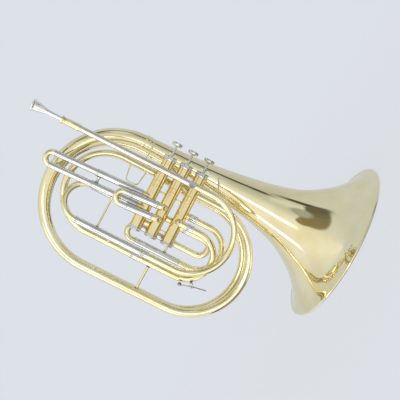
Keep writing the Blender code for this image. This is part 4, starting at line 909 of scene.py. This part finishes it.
WIRE = 1.2
start = on_bell(8, 377)
along = (pipe_point(377) - start).normalized()
make_wire("leadpipe_to_bell_rod", [start + along * 1.4, pipe_point(377) - along * 5.65], [],
          FlaredFeet(WIRE, 1.8, 3.0), "leadpipe_brace")
wire_x = on_leg("upper", 381).x + SLEEVE_RADIUS + 0.3 + WIRE + 0.6
make_wire("bent_loop_wire",
          [(-48.5, -17, 396), (wire_x, -48, 392), (wire_x, -48, 370), (-48.5, -17, 366)],
          [8.0, 8.0], FlaredFeet(WIRE, 1.5, 2.5), "loop_wire_brace")
foot = on_bell(4, 247, 1.5)
end = Vector((-21.3, -62, 224))
make_wire("bent_bell_wire", [foot, (end.x + 4, (foot.y + end.y) / 2, 238.5), end], [14.0],
          FlaredFeet(WIRE, 1.6, 4.0), "bell_wire_brace")
print("braces made")

# %% [markdown]
# ## Water key
# The water key lets moisture out of the lowest bow. A lever turns on a pin between two ears,
# a cork in a cup closes the drain, and the player presses the other end. The lever is a rod
# that the tube tree draws and a scale along y broadens.

# %% Water key
KEY_DEGREES = 52
KEY_CENTRE = Vector((-142.65, 0, 236.65))
KEY_Y = EXIT_Y + (OUTER_RUN[1] - EXIT_Y) * (90 + KEY_DEGREES) / 180
PIN_RADIUS = 59.65
CUP_RADIUS = EXIT_BEND + LOOP_RADIUS + 0.7 + 3.0 + 0.3
PIN_TO_CUP = 23.0


def round_the_bow(radius, turn=0.0):
    """A point at a distance from the middle of the bow, turned on from the pin by an angle."""
    a = math.radians(KEY_DEGREES) + turn
    return Vector((KEY_CENTRE.x - radius * math.sin(a), KEY_Y, KEY_CENTRE.z - radius * math.cos(a)))


class LeverShape:
    """Slim at the cup, thickest round the pin and broad again where the finger presses."""

    def __init__(self, hub):
        self.hub = hub

    def stops(self, total):
        return [total * k / 40 for k in range(1, 40)]

    def __call__(self, s, total):
        near_hub = math.exp(-((s - self.hub) / 3.2) ** 2)
        near_end = max(0.0, (s - self.hub) / (total - self.hub))
        return 0.85 + 1.5 * near_hub + 0.25 * near_end


pivot = round_the_bow(PIN_RADIUS)
cup_at = round_the_bow(CUP_RADIUS, PIN_TO_CUP / PIN_RADIUS)
centre = Vector((KEY_CENTRE.x, KEY_Y, KEY_CENTRE.z))
to_tube = (centre - cup_at).normalized()
arm = (cup_at - pivot).normalized()
outward = (pivot - centre).normalized()
finger = (outward * 3 - arm * 27).normalized()
cup_back = cup_at - to_tube * 0.9
draw_tube("water_key_arm", [cup_back, pivot, pivot + finger * 26.5], [30.0],
          LeverShape((cup_back - pivot).length), DARK_NICKEL, "water_key", "water_key_lever",
          wall=0, sides=16, flatten=(KEY_Y, 1.25))
turn_piece("water_key_cup",
           [(0, -1.8), (3.2, -1.8), (3.9, -1.3), (3.9, 0.3), (3.5, 0.3), (3.4, 0.0), (0, 0.0)],
           cup_at, to_tube, DARK_NICKEL, "water_key", ring=False, steps=32)
turn_piece("water_key_cork_pad", [(0, 0.05), (3.1, 0.05), (3.1, 2.7), (2.8, 3.0), (0, 3.0)], cup_at,
           to_tube, CORK, "water_key", "water_key_cork", ring=False, steps=32)


# %% Softened copies
def soften(name, node, width, material):
    """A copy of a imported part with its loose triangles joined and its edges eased."""
    piece = add_object(name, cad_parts[node].data.copy())
    shape = bmesh.new()
    shape.from_mesh(piece.data)
    bmesh.ops.remove_doubles(shape, verts=shape.verts, dist=0.00001)
    bmesh.ops.dissolve_limit(shape, angle_limit=math.radians(2), verts=shape.verts, edges=shape.edges)
    shape.to_mesh(piece.data)
    shape.free()
    ease = piece.modifiers.new("ease", "BEVEL")
    ease.width = width * MM
    ease.segments = 2
    ease.limit_method = "ANGLE"
    ease.angle_limit = math.radians(40)
    return finish_piece(piece, material, node=node)


soften("water_key_ears", "water_key_saddle", 0.2, DARK_NICKEL)
turn_piece("water_key_hinge_pin",
           [(0, -4.6), (0.8, -4.6), (1.0, -4.4), (1.0, 4.4), (0.8, 4.6), (0, 4.6)],
           pivot, DEPTH, SPRING_STEEL, node="water_key_pin", ring=False, steps=24)

# %% [markdown]
# ## Lyre holder
# A small square socket on the leadpipe's joint holds a clip for sheet music, and a round-headed
# screw clamps it. The screw head has a fine grip like the caps.

# %% Lyre holder
SCREW_Z = 287
soften("lyre_socket_block", "lyre_holder", 0.6, NICKEL)
screw_x = pipe_point(SCREW_Z).x
turn_piece("lyre_clamp_screw",
           [(0, -76.0), (1.7, -76.0), (1.7, -78.5), (5.4, -78.5), (6.0, -79.1), (6.0, -82.1),
            (5.4, -82.7), (1.8, -82.7), (1.4, -82.3), (0, -82.3)],
           (screw_x, 0, SCREW_Z), DEPTH, DARK_NICKEL, "lyre_screw_body", "lyre_screw", ring=False)
add_grip("lyre_screw_grip", (screw_x, -80.6, SCREW_Z), DEPTH, 5.95, 2.8, "lyre_screw_body", 26)
print("small fittings made")

# %% [markdown]
# ## Studio
# The horn was photographed lying on pale paper under a bright ceiling. Here it stands on its
# bell, so the camera is turned until the picture matches. The floor is a pale disc that
# fades out before its edge, so no horizon shows, and the camera sees the same pale blue-grey
# behind it. Metal is nothing but reflections, so what the metal sees is a room of its own:
# bright in front, greyer behind and overhead, with a narrow dark upright towards the buttons,
# which draws the dark line along the bell and the tubes. A darker bench below gives the tubes
# their lower edges, and a row of soft brown patches, with a grey-green one over them, makes
# the crescent that the photo shows in the throat of the flare.

# %% The room
PAPER = "#DDE1E8"
# Round the horn, by the angle about its axis: 0 is behind, 0.5 is at the camera and above 0.5
# is towards the finger buttons.
ROOM = ((0.0, "#CFD4DB"), (0.06, "#D2D6DC"), (0.12, "#E0E2E6"), (0.26, "#F4F4F4"), (0.36, "#F6F2EA"),
        (0.44, "#FFF9EC"), (0.5, "#F2F4F6"), (0.54, "#DFE4E6"), (0.58, "#CED4D6"), (0.63, "#E2E9EC"),
        (0.685, "#D3D9DA"), (0.695, "#4C4E4C"), (0.715, "#55574F"), (0.725, "#D4D9DB"), (1.0, "#CFD4DB"))
# The same angles near eye level, and overhead.
EYE_LEVEL = ((0.0, "#CFD4DB"), (0.15, "#DADCDE"), (0.24, "#FBFBFB"), (0.33, "#FFFFFF"), (0.43, "#FFFDF6"),
             (0.5, "#EEF0F2"), (0.56, "#D0D4D6"), (0.64, "#B4B8B9"), (0.652, "#4A4A45"),
             (0.672, "#44443F"), (0.684, "#C4C8CA"), (0.81, "#CDD2D6"), (1.0, "#CFD4DB"))
CEILING = ((0.0, "#D3D8DC"), (0.2, "#DEE2E4"), (0.34, "#F8F5EC"), (0.47, "#F4F2EB"), (0.58, "#DEE1E3"),
           (0.8, "#CFD4D8"), (1.0, "#D3D8DC"))
BENCH = "#A0977A"
BENCH_EDGE = "#3B372B"
# Where one layer gives way to the next, as heights on a sphere of radius 1.
ABOVE_EYE_LEVEL = (0.14, 0.28)
INTO_CEILING = (0.6, 0.82)
INTO_BENCH = (-0.72, -0.78)
EDGE_HEIGHT = -0.74
EDGE_WIDTH = (0.06, 0.02)
# Soft patches of the room: angle towards the buttons, angle up, radius in degrees and colour.
PATCHES = ((8, 42, 7, "#978A60"), (17, 46, 9, "#928660"), (27, 48, 11, "#8E8362"),
           (37, 48, 11, "#8A8062"), (47, 46, 10, "#827A60"), (57, 43, 9, "#767059"),
           (66, 39, 8, "#6A6655"), (38, 34, 11, "#A9B0AE"))
PATCH_EDGE = (1.3, 0.7)


# %% World
def lay_over(tree, under, over, mask, low, high):
    """One colour or socket laid over another where a value passes from low to high."""
    edge = add_node(tree, "ShaderNodeMapRange", [(mask, "Value")], interpolation_type="SMOOTHSTEP",
                    from_min=low, from_max=high)
    both = add_node(tree, "ShaderNodeMix", [(edge, "Factor"), (under, 6), (over, 7)], data_type="RGBA")
    return both.outputs[2]


def room_colour(tree, way):
    """The colour that a reflection meets in a direction."""
    facing = add_node(tree, "ShaderNodeSeparateXYZ", [(way, "Vector")]).outputs
    behind = add_node(tree, "ShaderNodeMath", [(facing["Y"], 0), (-1.0, 1)], operation="MULTIPLY")
    angle = add_node(tree, "ShaderNodeMath", [(facing["X"], 0), (behind, 1)], operation="ARCTAN2")
    turn = add_node(tree, "ShaderNodeMath", [(angle, 0), (1 / math.tau, 1), (0.5, 2)],
                    operation="MULTIPLY_ADD")
    level, room, ceiling = [add_node(tree, "ShaderNodeValToRGB", [(turn, "Fac")], stops=stops)
                            for stops in (EYE_LEVEL, ROOM, CEILING)]
    height = add_node(tree, "ShaderNodeMath", [(facing["Z"], 0)], operation="ABSOLUTE")
    colour = lay_over(tree, level, room, height, *ABOVE_EYE_LEVEL)
    colour = lay_over(tree, colour, ceiling, facing["Z"], *INTO_CEILING)
    colour = lay_over(tree, colour, linear(BENCH), facing["Z"], *INTO_BENCH)
    above = add_node(tree, "ShaderNodeMath", [(facing["Z"], 0), (-EDGE_HEIGHT, 1)], operation="ADD")
    off_edge = add_node(tree, "ShaderNodeMath", [(above, 0)], operation="ABSOLUTE")
    colour = lay_over(tree, colour, linear(BENCH_EDGE), off_edge, *EDGE_WIDTH)
    for side, rise, radius, code in PATCHES:
        side, rise = math.radians(side), math.radians(rise)
        middle = (math.sin(side) * math.cos(rise), -math.cos(side) * math.cos(rise), math.sin(rise))
        near = add_node(tree, "ShaderNodeVectorMath", [(way, 0), (middle, 1)], operation="DOT_PRODUCT")
        far, full = [math.cos(math.radians(radius * share)) for share in PATCH_EDGE]
        colour = lay_over(tree, colour, linear(code), near.outputs["Value"], far, full)
    return colour


def make_world():
    """The room for reflections, and plain paper for the camera."""
    world = bpy.data.worlds.new("pale_studio")
    bpy.context.scene.world = world
    world.use_nodes = True
    tree = world.node_tree
    tree.nodes.clear()
    way = add_node(tree, "ShaderNodeTexCoord").outputs["Generated"]
    seen = add_node(tree, "ShaderNodeBackground", color=linear(PAPER))
    lit = add_node(tree, "ShaderNodeBackground", [(room_colour(tree, way), "Color")])
    path = add_node(tree, "ShaderNodeLightPath")
    mix = add_node(tree, "ShaderNodeMixShader", [(path, "Fac"), (lit, 1), (seen, 2)])
    add_node(tree, "ShaderNodeOutputWorld", [(mix, "Surface")])


make_world()

# %% Floor
FLOOR_RADIUS = 1.5
FLOOR_DROP = 0.0005
FADE_FROM, FADE_TO = 0.25, 1.2
GLOW = "#EAEEF4"
MATT_SHARE = 0.35


def matt_paper():
    """Pale paper that glows a little, which softens the shadow, and fades out with distance."""
    paper, tree, _ = new_material("matt_pale_paper")
    tree.nodes.clear()
    place = add_node(tree, "ShaderNodeTexCoord")
    away = add_node(tree, "ShaderNodeVectorMath", [(place.outputs["Object"], 0)], operation="LENGTH")
    fade = add_node(tree, "ShaderNodeMapRange", [(away.outputs["Value"], "Value")],
                    interpolation_type="SMOOTHSTEP", from_min=FADE_FROM, from_max=FADE_TO)
    glow = add_node(tree, "ShaderNodeEmission", color=linear(GLOW))
    matt = add_node(tree, "ShaderNodeBsdfDiffuse", color=linear(PAPER))
    sheet = add_node(tree, "ShaderNodeMixShader", [(MATT_SHARE, "Fac"), (glow, 1), (matt, 2)])
    clear = add_node(tree, "ShaderNodeBsdfTransparent")
    mix = add_node(tree, "ShaderNodeMixShader", [(fade, "Fac"), (sheet, 1), (clear, 2)])
    add_node(tree, "ShaderNodeOutputMaterial", [(mix, "Surface")])
    return paper


floor = new_object("pale_paper_floor", [])
disc = bmesh.new()
bmesh.ops.create_circle(disc, cap_ends=True, segments=96, radius=FLOOR_RADIUS)
disc.to_mesh(floor.data)
disc.free()
floor.location.z = -FLOOR_DROP
floor.data.materials.append(matt_paper())
floor.visible_glossy = False

# %% [markdown]
# Two tall narrow panels draw the white lines on the metal. Each has little power, because the
# room already lights the horn.

# %% Lamps
LAMP_SPREAD = math.radians(70)
LAMP_TARGET = Vector((0, 0, 0.35))


def add_lamp(name, place, width, height, power, tint="#FFFFFF"):
    """A tall narrow panel; its spread makes its reflection fade towards both ends."""
    data = bpy.data.lights.new(name, "AREA")
    data.spread = LAMP_SPREAD
    data.shape = "RECTANGLE"
    data.size, data.size_y = width, height
    data.energy = power
    data.color = linear(tint)[:3]
    lamp = add_object(name, data)
    lamp.location = place
    lamp.rotation_euler = (LAMP_TARGET - Vector(place)).to_track_quat("-Z", "Y").to_euler()


add_lamp("warm_front_panel", (-0.6, -1.7, 0.6), 0.28, 2.2, 0.75, "#FFFBF2")
add_lamp("white_side_strip", (-1.45, -0.55, 0.6), 0.2, 2.2, 0.75)

# %% [markdown]
# ## Camera
# The camera sits 1.27 m in front of the slides and a little above the middle, and is rolled
# so that the horn lies across the picture from upper left to lower right, as photographed.

# %% Camera
ROLL = math.radians(27.5)
FOCAL_PIXELS, PICTURE_PIXELS, SENSOR_MM = 702, 400, 36
CAMERA_PLACE = Vector((0.0078, -1.268, 0.3834))
forward = Vector((0, 0.995, -0.1)).normalized()
down_the_horn = Vector((0, -0.1, -0.995)).normalized()
picture_right = math.cos(ROLL) * down_the_horn + math.sin(ROLL) * BUTTONWARDS
picture_up = -math.sin(ROLL) * down_the_horn + math.cos(ROLL) * BUTTONWARDS
lens = bpy.data.cameras.new("photo_camera")
lens.lens = FOCAL_PIXELS / PICTURE_PIXELS * SENSOR_MM
lens.sensor_width = SENSOR_MM
camera = add_object("photo_camera", lens)
turned = Matrix((picture_right, picture_up, -forward)).transposed().to_4x4()
camera.matrix_world = Matrix.Translation(CAMERA_PLACE) @ turned
bpy.context.scene.camera = camera
bpy.context.scene.view_settings.view_transform = "Standard"
print("studio set")
